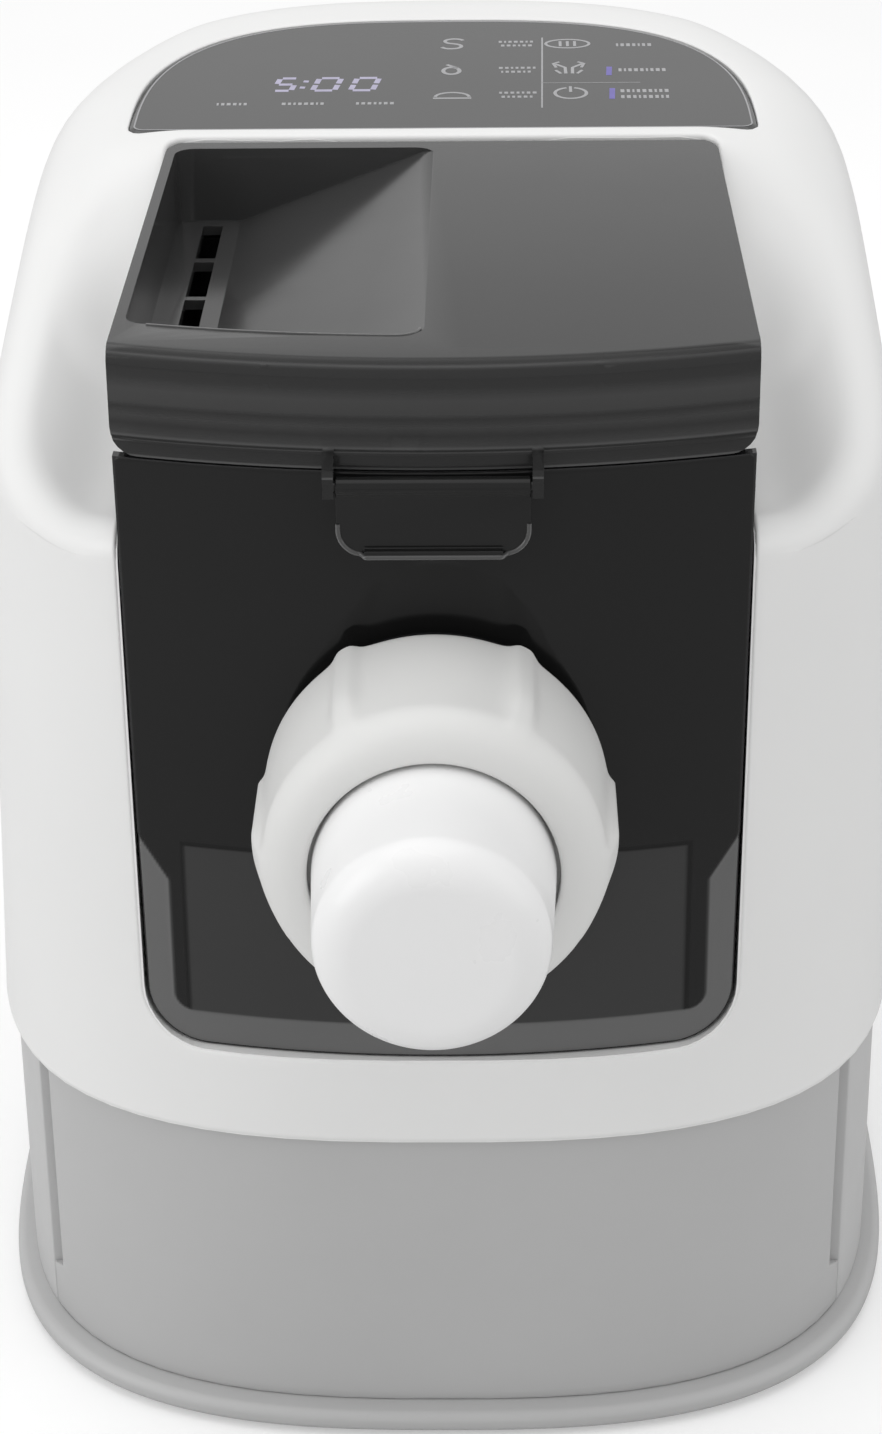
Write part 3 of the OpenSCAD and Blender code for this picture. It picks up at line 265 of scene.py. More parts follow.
def plan_point(a, b, t):
    """Rounded oblong |x/a|^2.7 + |y/b|^4.2 = 1 at angle t."""
    c, s = np.cos(t), np.sin(t)
    x = a * np.sign(c) * np.abs(c) ** (2.0 / PLAN_P)
    y = b * np.sign(s) * np.abs(s) ** (2.0 / PLAN_Q)
    return x, y


def plan_rows(a, b, t, profile):
    """Rows of points round the oblong, one for each inset and height of the profile."""
    rows = [(*plan_point(a - inset, b - inset, t), np.full_like(t, z)) for inset, z in profile]
    return np.stack([np.stack(row, -1) for row in rows])


def run_along(a, b, t):
    """Length along the oblong from the first of the angles t to each of them."""
    x, y = plan_point(a, b, t)
    return np.concatenate([[0.0], np.cumsum(np.hypot(np.diff(x), np.diff(y)))])


def even_angles(a, b, count):
    """Angles at which the oblong's points lie evenly along its length."""
    t = np.linspace(0.0, 2.0 * math.pi, 20001)
    run = run_along(a, b, t)
    return np.interp(np.linspace(0.0, run[-1], count + 1), run, t)[:count]


def rim_z(y):
    """Height of the shoulders: low at the front, and a soft rise to the back."""
    return SHOULDER_FRONT + (SHOULDER_REAR - SHOULDER_FRONT) * step_over(y, SHOULDER_STEP)


def head_z(y):
    """Height of the tilted plane of the control panel."""
    return PANEL_Z + (y - PANEL_Y) * math.tan(PANEL_TILT)


def top_z(x, y):
    """Shoulders, less the hollow beside the lid, blended into the panel's plane at the back,
    and raised a little over the hollow's facets."""
    ax = np.abs(x)
    dish = DISH_DEPTH * (1 - step_over(ax, DISH_SIDE))
    dish = dish * step_over(y, DISH_FRONT) * (1 - step_over(y, DISH_REAR))
    rise = (head_z(y) - rim_z(y)) * (1 - step_over(ax, HEAD_SIDE)) * step_over(y, HEAD_FRONT)
    bare = (1 - step_over(ax, HOLLOW_SIDE)) * step_over(y, HOLLOW_FRONT)
    bare = bare * (1 - step_over(y, HOLLOW_REAR))
    swell = smooth(1 - ((ax - SWELL_X) / SWELL_A) ** 2 - ((y - SWELL_Y) / SWELL_B) ** 2)
    return rim_z(y) - dish + rise + HOLLOW_PROUD * bare + HOLLOW_SWELL * swell


def shell_point(t, step, proud):
    """Skin of the shell at plan angle t. The step runs up the leaning wall from 0 to 1,
    round the top edge from 1 to 2, and across the top to the middle from 2 to 3.
    proud moves the skin outwards."""
    up = np.minimum(1.0, step)
    turn = np.radians(90.0) * np.clip(step - 1.0, 0.0, 1.0)
    across = np.maximum(0.0, step - 2.0)
    full_x, full_y = plan_point(BODY_W / 2, BODY_D / 2, t)
    r = EDGE_R + EDGE_GROWTH * step_over(full_y, EDGE_STEP) + proud
    wall_top = top_z(full_x, full_y) + proud - r
    z_wall = SHELL_LOW + up * (wall_top - SHELL_LOW)
    lean = (z_wall - SHELL_LOW) / DRAFT_H
    a = BODY_W / 2 - SIDE_DRAFT * lean + proud
    b = BODY_D / 2 - FRONT_DRAFT * lean + proud
    inset = r * (1 - np.cos(turn))
    shrink = 1 - across * TOP_REACH
    x, y = plan_point((a - inset) * shrink, (b - inset) * shrink, t)
    z = np.where(step <= 1.0, z_wall, top_z(x, y) + proud - r * (1 - np.sin(turn)))
    return np.stack([x, y, z], -1)


# ---------- openings, as signed distances that are negative inside ----------

def round_meet(d, e, r):
    """Signed distance of the overlap of two shapes, with its corners rounded by r."""
    u, v = d + r, e + r
    return np.hypot(np.maximum(u, 0), np.maximum(v, 0)) + np.minimum(np.maximum(u, v), 0) - r


def u_gap(x, z, u):
    """A U with straight sides that draw in a little downwards, and round lower corners."""
    half, top, draft, tall, corner_x, corner_z = u
    low = np.hypot(np.maximum(x - corner_x, 0), corner_z - z) - U_CORNER_R
    return np.where(z > corner_z, x - (half - draft * (top - z) / tall), low)


def channel_gap(p):
    """The channel that the mixing chamber fills: a U, ended by the channel's back wall."""
    side = u_gap(np.abs(p[..., 0]), p[..., 2], CHANNEL_U)
    return round_meet(side, p[..., 1] - CHANNEL_BACK, CHANNEL_BACK_R)


def panel_gap(p):
    """The control panel's outline: a wide rounded arch over a straight front edge."""
    x, y = np.abs(p[..., 0]), (p[..., 1] - PANEL_Y) / math.cos(PANEL_TILT)
    arch = (x / PANEL_HALF) ** PANEL_P + (np.maximum(y, 0) / PANEL_LEN) ** PANEL_Q
    arch = arch ** (2 / (PANEL_P + PANEL_Q)) - 1
    return round_meet(arch * PANEL_HALF, -y, PANEL_CORNER_R)


def vent_gap(p):
    """The nearest air slot in the shell's back: two rows of upright slots with round ends."""
    x, y, z = p[..., 0], p[..., 1], p[..., 2]
    column = VENT_PITCH * np.clip(np.round(x / VENT_PITCH), -VENT_SIDE, VENT_SIDE)
    row = np.where(z > sum(VENT_ROWS) / 2, VENT_ROWS[1], VENT_ROWS[0])
    reach = np.maximum(np.abs(z - row) - VENT_H / 2, 0)
    return np.where(y > 0, np.hypot(x - column, reach) - VENT_R, FAR)


def inlet_gap(p):
    """The mains inlet's opening in the back of the base: an oblong."""
    side = np.maximum(np.abs(p[..., 0]) - INLET_HALF_X, np.abs(p[..., 2] - INLET_Z) - INLET_HALF_Z)
    return np.where(p[..., 1] > 0, side, FAR)


def window_gap(p):
    """All that lies outside the window's outline, a U with a straight top."""
    z = p[..., 2]
    return -np.maximum(u_gap(np.abs(p[..., 0]), z, WINDOW_U), z - WINDOW_TOP)


# ---------- cutting openings into a grid of points ----------

def unit(v):
    """Vectors of length 1 in the directions of v."""
    return v / np.maximum(np.linalg.norm(v, axis=-1, keepdims=True), 1e-9)


def rows_normals(points, wrap):
    """Unit normals of a grid, pointing out where rows go up and columns run to the left
    round the body. With wrap, the columns close on themselves."""
    around = np.roll(points, -1, 1) - np.roll(points, 1, 1)
    along = around if wrap else np.gradient(points, axis=1)
    return unit(np.cross(along, np.gradient(points, axis=0)))


def slope(field, p):
    """Direction in which a signed distance grows, by central differences."""
    h = 0.05
    return unit(np.stack([field(p + h * e) - field(p - h * e) for e in np.eye(3)], -1))


def draw_to_line(points, gap, wrap):
    """Moves each grid point that is the nearer end of an edge crossing gap = 0 onto the
    crossing, and returns the points with their new gap, which is 0 there."""
    best = np.full(gap.shape, np.inf)
    moved, level = points.copy(), gap.copy()
    for axis, shift in ((0, 1), (0, -1), (1, 1), (1, -1)):
        other_gap, other = np.roll(gap, shift, axis), np.roll(points, shift, axis)
        cross = gap * other_gap < 0
        edge = 0 if shift == 1 else -1
        if axis == 0:
            cross[edge] = False
        elif not wrap:
            cross[:, edge] = False
        part = np.where(cross, gap / np.where(cross, gap - other_gap, 1), FAR)
        length = part * np.linalg.norm(other - points, axis=-1)
        take = cross & (part <= 0.5) & (length < best)
        best = np.where(take, length, best)
        moved = np.where(take[..., None], points + part[..., None] * (other - points), moved)
        level = np.where(take, 0.0, level)
    return moved, level


def rim_edges(quads, tris):
    """Edges that belong to one face only, in that face's direction."""
    e = np.concatenate([np.stack([quads[:, k], quads[:, (k + 1) % 4]], -1) for k in range(4)]
                       + [np.stack([tris[:, k], tris[:, (k + 1) % 3]], -1) for k in range(3)])
    key = np.sort(e, 1)
    _, first, count = np.unique(key, axis=0, return_index=True, return_counts=True)
    return e[first[count == 1]]


def lipped_rim(points, normals, edges, field, radius, depth):
    """Quarter-round lip of a cut edge, then a wall that runs straight in by depth."""
    ids, local = np.unique(edges, return_inverse=True)
    local = local.reshape(-1, 2)
    base = points.reshape(-1, 3)[ids]
    out = normals.reshape(-1, 3)[ids]
    grow = slope(field, base)
    common = (grow * out).sum(-1, keepdims=True)
    inward = unit(common * out - grow)
    sink = unit(common * grow - out)
    rings = [base]
    for turn in np.radians([22.5, 45, 67.5, 90]):
        rings.append(base + radius * (inward * math.sin(turn) + sink * (1 - math.cos(turn))))
    rings.append(rings[-1] + sink * depth)
    n = len(ids)
    faces = np.concatenate([
        np.stack([local[:, 1] + k * n, local[:, 0] + k * n,
                  local[:, 0] + (k + 1) * n, local[:, 1] + (k + 1) * n], -1)
        for k in range(len(rings) - 1)])
    return np.concatenate(rings), faces


def cut_sheet(points, cuts, wrap=False):
    """A grid of points with openings. Each cut is (signed distance, how far it is grown,
    lip radius, depth of the wall inside); the sheet is kept where every distance is larger.
    Grid points beside a cut are drawn onto it, and a quad with one corner inside keeps the
    half that lies outside."""
    normals = rows_normals(points, wrap)
    level = np.ones(points.shape[:2])
    for field, grow, _, _ in cuts:
        points, part = draw_to_line(points, np.where(level > 0, field(points) - grow, level), wrap)
        level = np.where(level == 0, 0, np.minimum(level, part))
    quads = sheet_faces(*level.shape, wrap=wrap)
    flat = level.reshape(-1)
    inside, outside = flat[quads] < 0, flat[quads] > 0
    keep = ~inside.any(1) & outside.any(1)
    halved = (inside.sum(1) == 1) & outside.any(1)
    corner, half = inside[halved].argmax(1), quads[halved]
    row = np.arange(len(half))
    tris = np.stack([half[row, (corner + k) % 4] for k in (1, 2, 3)], -1)
    quads = quads[keep]
    edges = rim_edges(quads, tris)
    edges = edges[(flat[edges] == 0).all(1)]
    middle = points.reshape(-1, 3)[edges].mean(1)
    nearest = np.argmin([np.abs(field(middle) - grow) for field, grow, _, _ in cuts], axis=0)
    parts = [(points, quads), (points, tris)]
    for k, (field, _, radius, depth) in enumerate(cuts):
        parts.append(lipped_rim(points, normals, edges[nearest == k], field, radius, depth))
    return parts


# ---------- shell, base and foot ring ----------

def shell_skin():
    """The whole white skin: a soft lower edge, the leaning wall, the rounded top edge and
    the sculpted top, with lipped cuts for the channel, the control panel and the air slots.
    The columns stand three times closer across the air slots."""
    a, b = BODY_W / 2, BODY_D / 2
    t = even_angles(a, b, SHELL_COLUMNS)
    x, y = plan_point(a, b, t)
    by_vents = (y > 0) & (np.abs(x) < VENT_PITCH * (VENT_SIDE + 0.5))
    t = t[(np.arange(len(t)) % 3 == 0) | by_vents]
    steps = np.concatenate([[0.0]] + [np.linspace(*stretch)[1:] for stretch in SHELL_ROWS])
    points = shell_point(t[None, :], steps[:, None], SKIN_PROUD)
    points[0, :, 2] += FOOT_TURN
    foot = [(inset, SHELL_LOW + up) for inset, up in SHELL_FOOT]
    points = np.concatenate([plan_rows(a + SKIN_PROUD, b + SKIN_PROUD, t, foot), points])
    cuts = ((channel_gap, *CHANNEL_CUT), (panel_gap, *PANEL_CUT), (vent_gap, *VENT_CUT))
    return cut_sheet(points, cuts, True)


def rounded_steps(low, high, lip, wall, count):
    """Steps from low to high with the inset of each: the two ends turn in with radius lip
    and then run in to the depth wall."""
    turn = np.radians([0, 30, 60, 90])
    lead = np.concatenate([[0.0], lip * (1 - np.cos(turn))])
    dip = np.concatenate([[wall], lip * (1 - np.sin(turn))])
    middle = np.linspace(low + lip, high - lip, count)[1:-1]
    place = np.concatenate([low + lead, middle, (high - lead)[::-1]])
    return place, np.concatenate([dip, np.zeros(len(middle)), dip[::-1]])


def wall_band(a, b, band, start, stop, cols, rows):
    """Upright band on the plan outline between two heights. start and stop give, for each
    height, how far along the outline from the front's middle the band begins and ends."""
    low, high, lip, wall = band
    t = np.linspace(-math.pi / 2, 1.5 * math.pi, 40001)
    run = run_along(a, b, t)
    z, dip_z = rounded_steps(low, high, lip, wall, rows)
    whole = 1000.0  # any length well over the lips, which keep their own size
    place, dip_s = rounded_steps(0.0, whole, lip, wall, cols)
    begin, end = start(z)[:, None], stop(z)[:, None]
    share = np.clip((place - lip) / (whole - 2 * lip), 0, 1)
    spare = place - lip - share * (whole - 2 * lip)
    along = begin + lip + share * (end - begin - 2 * lip) + spare
    angle = np.interp(np.mod(along, run[-1]), run, t)
    px, py = plan_point(a, b, angle)
    nudge = 1e-3
    fx, fy = plan_point(a, b, angle + nudge)
    bx, by = plan_point(a, b, angle - nudge)
    nx, ny = fy - by, -(fx - bx)
    size = np.hypot(nx, ny)
    dip = np.maximum(dip_z[:, None], dip_s[None, :])
    return np.stack([px - dip * nx / size, py - dip * ny / size,
                     np.broadcast_to(z[:, None], px.shape)], -1)


def run_to(a, b, y_stop):
    """Length of the outline from the front's middle to where it reaches y = y_stop."""
    t = np.linspace(-math.pi / 2, 0, 20001)
    return np.interp(y_stop, plan_point(a, b, t)[1], run_along(a, b, t))


def drawer_skin():
    """Curved drawer front. Its sides end at the seam low down and at the finger grooves above."""
    a, b = BASE_A + BASE_PROUD, BASE_B + BASE_PROUD

    def stop(z):
        return run_to(a, b, SEAM_Y - SEAM_GAP - GRIP_WIDE * step_over(z, GRIP_STEP))

    return sheet(wall_band(a, b, DRAWER_BAND, lambda z: -stop(z), stop, 170, 40))


def base_skin():
    """The base's wall, from the drawer's seam on one side round the back to the other."""
    a, b = BASE_A + BASE_PROUD, BASE_B + BASE_PROUD
    around = run_along(a, b, np.linspace(0, 2 * math.pi, 40001))[-1]
    seam = run_to(a, b, SEAM_Y)
    points = wall_band(a, b, BASE_BAND, lambda z: np.full(len(z), seam),
                       lambda z: np.full(len(z), around - seam), 300, 44)
    return cut_sheet(points, ((inlet_gap, *INLET_CUT),))


def ring_skin():
    """The foot ring: a flat underside, a soft lower corner, an upright edge, a rounded
    upper corner and the ledge that the base stands on."""
    round_edge = [(RING_EDGE_IN - RING_EDGE_R * math.cos(k), RING_EDGE_Z + RING_EDGE_R * math.sin(k))
                  for k in np.radians(np.linspace(0, 90, 9))]
    profile = [*RING_FOOT, *round_edge, RING_LEDGE]
    return sheet(plan_rows(RING_A, RING_B, even_angles(RING_A, RING_B, 420), profile), wrap=True)


# ---------- window plate ----------

def bow(x):
    """How far the bowed front lies back at x: the rise of a circular arc."""
    return BOW_R - np.sqrt(BOW_R ** 2 - x ** 2)


def field_gap(x, z):
    """Signed distance to the window's raised field, which narrows towards the bottom."""
    side = np.abs(x) - FIELD_HALF - FIELD_FLARE * np.maximum(z - FIELD_KNEE, 0)
    return round_meet(np.maximum(side, FIELD_INNER), FIELD_LOW - z, FIELD_R)


def window_skin():
    """Front of the window plate: bowed and leaning back, with a raised field whose edge
    rolls down to a sloping border along the lower sides and the bottom."""
    x, z = np.meshgrid(np.linspace(*SHEET_X), np.linspace(*SHEET_Z))
    gap = field_gap(x, z)
    fall = BORDER_DROP * smooth(gap / BORDER_ROLL) + BORDER_SLOPE * np.clip(gap, 0, BORDER_W)
    lean = (z - SHELL_LOW) * FRONT_DRAFT / DRAFT_H
    y = -BODY_D / 2 + WINDOW_SET + lean + bow(x) - WINDOW_PROUD + fall
    return cut_sheet(np.stack([x, y, z], -1), ((window_gap, *WINDOW_CUT),))


def window_painted_tones(piece):
    """Gives each point of the window plate its shade: dark in the upper field, the plate's own smoke;
    paler in the low inner pane with a thin dark line round it, a painted view of the chamber's lit
    inside seen through the plate; palest on the sloping border, a painted reflection of the light above."""
    place = np.empty(len(piece.data.vertices) * 3)
    piece.data.vertices.foreach_get("co", place)
    x, _, z = (place.reshape(-1, 3) * 1000.0).T
    pane = np.maximum(np.abs(x - PANE_X) - PANE_HALF, z - PANE_TOP)
    shade = UPPER_SHADE + (PANE_PAINTED_LIGHT - UPPER_SHADE) * smooth(-pane / PANE_SOFT)
    shade = np.where(np.abs(pane - LINE_AT) < LINE_HALF, PANE_LINE_PAINTED_DARK, shade)
    edge = smooth(field_gap(x, z) / BORDER_SOFT)
    shade = shade + (BORDER_PAINTED_REFLECTION - shade) * edge
    tone = piece.data.attributes.new("shade", "FLOAT", "POINT")
    tone.data.foreach_set("value", shade)


# ---------- nut and cap ----------

def turned_sheet(profile, back, cols, ribs=None):
    """Surface turned round the nozzle's axis from (radius, distance forwards) points. ribs
    gives the height added at each angle and distance."""
    turn = np.linspace(0, 2 * math.pi, cols, endpoint=False)[None, :]
    r, d = (np.array(v)[:, None] for v in zip(*profile))
    if ribs:
        r = r + ribs(turn, r, d)
    points = np.stack([r * np.sin(turn), back - d + 0 * turn, NOZZLE_Z + r * np.cos(turn)], -1)
    return sheet(points, wrap=True)


def nut_ribs(turn, r, d):
    """Height of the nut's six grip ribs, which fade out on its rounded front. Each is a bell
    1 / (1 + (s/w)^n) across: narrow above and below, and at the sides steep on the upper flank
    and long on the lower one. The bore has none."""
    side = np.abs(np.mod(turn + math.pi, 2 * math.pi) - math.pi)
    along = (np.mod(side, math.pi / 3) - math.pi / 6) * NUT_R
    narrow = 1 / (1 + (along / RIB_NARROW) ** 4)
    long = np.where(along < 0, 1 / (1 + (along / RIB_ABOVE) ** 4), 1 / (1 + (along / RIB_BELOW) ** 3))
    shape = np.where(np.abs(side - math.pi / 2) < math.pi / 6, long, narrow)
    height = np.maximum(NUT_R + RIB_HIGH - r, 0) * (1 - step_over(d, RIB_FADE))
    return np.where(r > NUT_BORE + 0.1, np.minimum(height, RIB_HIGH) * shape, 0.0)


def nut_sheet():
    """Round nut: sides that widen a little to the back, a rounded front, a mouth with a small
    fillet, and the stepped bore."""
    curve = np.radians(np.linspace(0, 90, 19))
    profile = [(NUT_BORE, 0.0), *NUT_HEEL]
    profile += [(NUT_R + NUT_GROWTH * (1 - smooth(d / NUT_SIDE)), d) for d in np.linspace(1.4, 31.0, 22)]
    profile += [(NUT_R - NUT_EDGE_R * (1 - math.cos(k)), NUT_SIDE + NUT_EDGE_R * math.sin(k))
                for k in curve]
    profile += [*NUT_LIP, (NUT_MOUTH, NUT_STEP), (NUT_BORE, NUT_STEP), (NUT_BORE, 0.0)]
    return turned_sheet(profile, NUT_BACK, 360, nut_ribs)


def cap_sheet():
    """Round cap: slightly tapered sides, a wide soft front edge, a faintly crowned face,
    and the hollow behind it."""
    curve = np.radians(np.linspace(0, 90, 21))
    profile = [*CAP_HOLLOW, *CAP_HEEL]
    profile += [(CAP_R - CAP_TAPER * (d / CAP_SIDE), d) for d in np.linspace(1.0, 28.5, 14)]
    profile += [(CAP_FACE_R + CAP_EDGE_A * math.cos(k), CAP_SIDE + CAP_EDGE_B * math.sin(k))
                for k in curve]
    profile += [(r, CAP_L - CAP_CROWN * (r / CAP_FACE_R) ** 2) for r in (12.0, 8.0, 4.0, 0.0)]
    return turned_sheet(profile, CAP_BACK, 240)


# ---------- lips of the latch and of the pouring tray ----------

def bead(path, radius, face, sides=12):
    """Round bead of the given radius along a path of points on a surface that faces face,
    closed by a point at each end."""
    along = unit(np.gradient(path, axis=0))
    across = unit(np.cross(along, face))
    rise = np.cross(across, along)
    turn = np.linspace(0, 2 * math.pi, sides, endpoint=False)[None, :, None]
    tube = path[:, None] + radius * (across[:, None] * np.cos(turn) + rise[:, None] * np.sin(turn))
    ends = [np.repeat(path[k][None, None], sides, 1) for k in (0, -1)]
    return sheet(np.concatenate([ends[0], tube, ends[1]]), wrap=True)


def latch_lip():
    """Rolled lower edge of the finger tab: down one side, round the corner, forward over the
    finger lip, and back the same way on the other side."""
    r, corner_x = LATCH_CORNER_R, LATCH_HALF - LATCH_CORNER_R
    bend = np.radians(np.linspace(180, 270, 12))
    x = np.concatenate([[LATCH_IN - LATCH_HALF], (r - LATCH_IN) * np.cos(bend) - corner_x,
                        np.linspace(0.3 - corner_x, 0, 40)])
    z = LATCH_LOW + np.concatenate([[r + LATCH_UP], r + (r - LATCH_IN) * np.sin(bend),
                                    np.full(40, LATCH_IN)])
    x, z = np.concatenate([x[:-1], -x[::-1]]), np.concatenate([z[:-1], z[::-1]])
    forward = GRIP_LIP * smooth((corner_x + GRIP_LIP_IN - np.abs(x)) / GRIP_LIP_TURN)
    return bead(np.stack([x, LATCH_FACE - forward, z], -1), LATCH_BEAD, [0.0, -1.0, 0.0])


def tray_lip():
    """Fine raised lip along the front edge of the pouring tray, curling back at its right end."""
    x = np.linspace(TRAY_LEFT, TRAY_RIGHT, 60)
    y = TRAY_FRONT + bow(x)
    bend = np.radians(np.linspace(-84, -6, 14))
    x = np.concatenate([x, TRAY_RIGHT + TRAY_CORNER_R * np.cos(bend)])
    y = np.concatenate([y, y[-1] + TRAY_CORNER_R * (1 + np.sin(bend))])
    return bead(np.stack([x, y, np.full_like(x, LID_TOP - TRAY_SUNK)], -1), TRAY_BEAD, [0.0, 0.0, 1.0])


# ---------- control panel ----------

def on_panel(x, v, height):
    """Points at x and v along the panel's plane, and height above it."""
    c, s = math.cos(PANEL_TILT), math.sin(PANEL_TILT)
    return np.stack([x, PANEL_Y + v * c - height * s, PANEL_Z + v * s + height * c], -1)


def panel_curve(inset):
    """The panel's outline in its own plane, set in by inset: a flat front edge with small
    round corners, and the arch |x/a|^3 + |v/b|^2.8 = 1."""
    r, a, b = PANEL_CORNER_R, PANEL_HALF, PANEL_LEN
    bend = np.radians(np.linspace(0, 90, 13))
    u = np.radians(np.linspace(4, 176, 180))
    arch_x = a * np.sign(np.cos(u)) * np.abs(np.cos(u)) ** (2 / PANEL_P)
    arch_v = b * np.sin(u) ** (2 / PANEL_Q)
    keep = arch_v > r
    x = np.concatenate([[0.0], a - r + r * np.sin(bend), arch_x[keep], -(a - r) - r * np.cos(bend)])
    v = np.concatenate([[0.0], r - r * np.cos(bend), arch_v[keep], r - r * np.sin(bend)])
    along_x, along_v = np.roll(x, -1) - np.roll(x, 1), np.roll(v, -1) - np.roll(v, 1)
    size = np.hypot(along_x, along_v)
    return x - inset * along_v / size, v + inset * along_x / size


def panel_lens():
    """Dark lens with an upright edge, a narrow sloping border and a flat face, whose rows
    shrink to a point in its middle."""
    rows = [on_panel(*panel_curve(inset), height) for inset, height in LENS_EDGE]
    inset, height = LENS_EDGE[-1]
    x, v = panel_curve(inset)
    for share in (0.9, 0.6, 0.3, 0.0):
        rows.append(on_panel(x * share, LENS_MIDDLE_V + (v - LENS_MIDDLE_V) * share, height))
    return sheet(np.stack(rows), wrap=True)


# ---------- marks on the panel, at x across and v up its plane ----------

PRINT_LOW, PRINT_HIGH = 0.04, 0.1
BAR_GAP, BAR_SEAM, BAR_H = 0.42, 0.2, 1.5
FIGURES = ((-45.8, 4.8, "afgcd"), (-35.2, 5.9, "abcdef"), (-25.0, 5.9, "abcdef"))  # x, width, bars
FIGURE_V, FIGURE_H, FIGURE_LEAN, FIGURE_BAR, FIGURE_GAP = 29.3, 9.3, 0.17, 1.5, 0.6
DOTS_X, DOTS_V, DOT_H, DOT_W = -38.2, (31.6, 36.2), 0.7, 1.4
FOOT_CAPTIONS, FOOT_V, FOOT_H = ((-60.4, -51.1), (-43.1, -30.9), (-23.4, -12.0)), 19.5, 1.7
MIDDLE_V, MIDDLE_UPPER, MIDDLE_LOWER = (64.7, 44.1, 25.2), (14.6, 24.9), (15.2, 24.3)
RIGHT_X, RIGHT_H = 47.0, 2.2
RIGHT_CAPTIONS = ((58.0, 63.2), (60.1, 43.5), (60.9, 27.6), (60.2, 23.2))  # right end, v
RULES = (((26.9, 69.4), (26.1, 15.5), 0.45), ((26.0, 33.9), (52.7, 33.9), 0.25))
STATUS_LIGHTS = (((44.5, 39.6), (44.8, 46.0)), ((44.8, 21.8), (45.1, 29.6)))
STATUS_W = 1.5
INDEX_HALF, INDEX_V, INDEX_W = 1.3, (0.75, PANEL_LEN - 0.9), 0.7
BORDER_LINE_IN, BORDER_LINE_W = 1.35, 0.4


def stroke(path, width, closed=False):
    """Thin raised line of the given width along a path of (x, v) points on the panel."""
    path = np.asarray(path, float)
    around = np.roll(path, -1, 0) - np.roll(path, 1, 0)
    along = unit(around if closed else np.gradient(path, axis=0))
    across = np.stack([along[:, 1], -along[:, 0]], -1) * width / 2
    section = ((1, PRINT_LOW), (1, PRINT_HIGH), (-1, PRINT_HIGH), (-1, PRINT_LOW))
    rows = np.stack([on_panel(*(path + side * across).T, h) for side, h in section])
    faces = sheet_faces(4, len(path), wrap=closed)
    if not closed:
        n = len(path)
        faces = np.concatenate([faces, [[0, n, 2 * n, 3 * n],
                                        [4 * n - 1, 3 * n - 1, 2 * n - 1, n - 1]]])
    return rows, faces


def oval(x, v, a, b, start=0.0, stop=360.0, n=40):
    """Path along an oval from one angle to another."""
    t = np.radians(np.linspace(start, stop, n))
    return np.stack([x + a * np.cos(t), v + b * np.sin(t)], -1)


def caption(x0, x1, v, seed, height=BAR_H):
    """A row of short bars that stands for a caption, with no letters in it."""
    widths = 0.75 + 0.5 * np.abs(np.sin(seed + 2.4 * np.arange(40)))
    ends = x0 + np.cumsum(widths + BAR_GAP)
    count = int((ends < x1 + 0.5).sum())
    return [stroke([(ends[k] - widths[k] - BAR_SEAM, v), (ends[k] - BAR_GAP, v)], height)
            for k in range(count)]


def figure(x, v, w, h, lit):
    """Slanted seven-bar figure. lit names its bars: a top, b and c right, d bottom, e and f
    left, g middle."""
    half = h / 2
    bars = {"a": ((0, h), (w, h)), "b": ((w, h), (w, half)), "c": ((w, half), (w, 0)),
            "d": ((0, 0), (w, 0)), "e": ((0, half), (0, 0)), "f": ((0, h), (0, half)),
            "g": ((0, half), (w, half))}
    marks = []
    for name in lit:
        p, q = (np.array([x + c[0] + FIGURE_LEAN * c[1], v + c[1]]) for c in bars[name])
        gap = FIGURE_GAP * unit(q - p)
        marks.append(stroke([p + gap, q - gap], FIGURE_BAR))
    return marks


def display_marks():
    """The lit figures of the display: 5, two dots, 0 and 0."""
    marks = []
    for x, w, lit in FIGURES:
        marks += figure(x, FIGURE_V, w, FIGURE_H, lit)
    for v in DOTS_V:
        x = DOTS_X + FIGURE_LEAN * (v - 31)
        marks.append(stroke([(x, v - DOT_H), (x + 0.2, v + DOT_H)], DOT_W))
    return marks


def symbol(x, v, strokes):
    """Strokes about the point (x, v): each is a path, a width and, if it closes, True."""
    return [stroke(np.array(path) + (x, v), *rest) for path, *rest in strokes]


def symbol_marks():
    """Six touch symbols: a swirl, a drop and a dome on the left, and an oval with three bars,
    two spreading arrows and the power sign on the right."""
    swirl = np.concatenate([oval(0.4, 2.0, 2.6, 1.9, 20, 250, 20),
                            oval(-0.4, -2.0, 2.8, 2.0, 70, -160, 20)])
    marks = symbol(2.1, 64.9, [(swirl, 1.0)])
    marks += symbol(1.9, 43.6, [(oval(0, 0, 2.2, 2.6), 1.1, True),
                                ([(-1.3, 4.8), (1.7, 2.0)], 1.0)])
    marks += symbol(2.3, 22.9, [(oval(0, 0.9, 4.5, 3.3, 0, 180), 0.9),
                                ([(-5.1, 0), (5.1, 0)], 1.0)])
    marks += symbol(33.8, 64.4, [(oval(0, 0, 6.0, 3.4), 0.8, True)]
                    + [([(x, -2.0), (x, 2.0)], 0.8) for x in (-2.0, 0.0, 2.0)])
    arrow = (([(0.9, -4.6), (1.0, 0), (3.7, 2.9)], 0.9),
             ([(2.5, 4.4), (4.2, 3.1), (3.4, 0)], 0.8),
             ([(2.2, -4.6), (3.6, -2.0)], 0.8))
    for side in (-1, 1):
        marks += symbol(33.8, 45.6, [(np.array(path) * (side, 1), width)
                                     for path, width in arrow])
    marks += symbol(33.9, 26.2, [(oval(0, 0, 4.2, 4.0, 104, 436), 0.9),
                                 ([(0, 0.8), (0, 5.0)], 0.8)])
    return marks


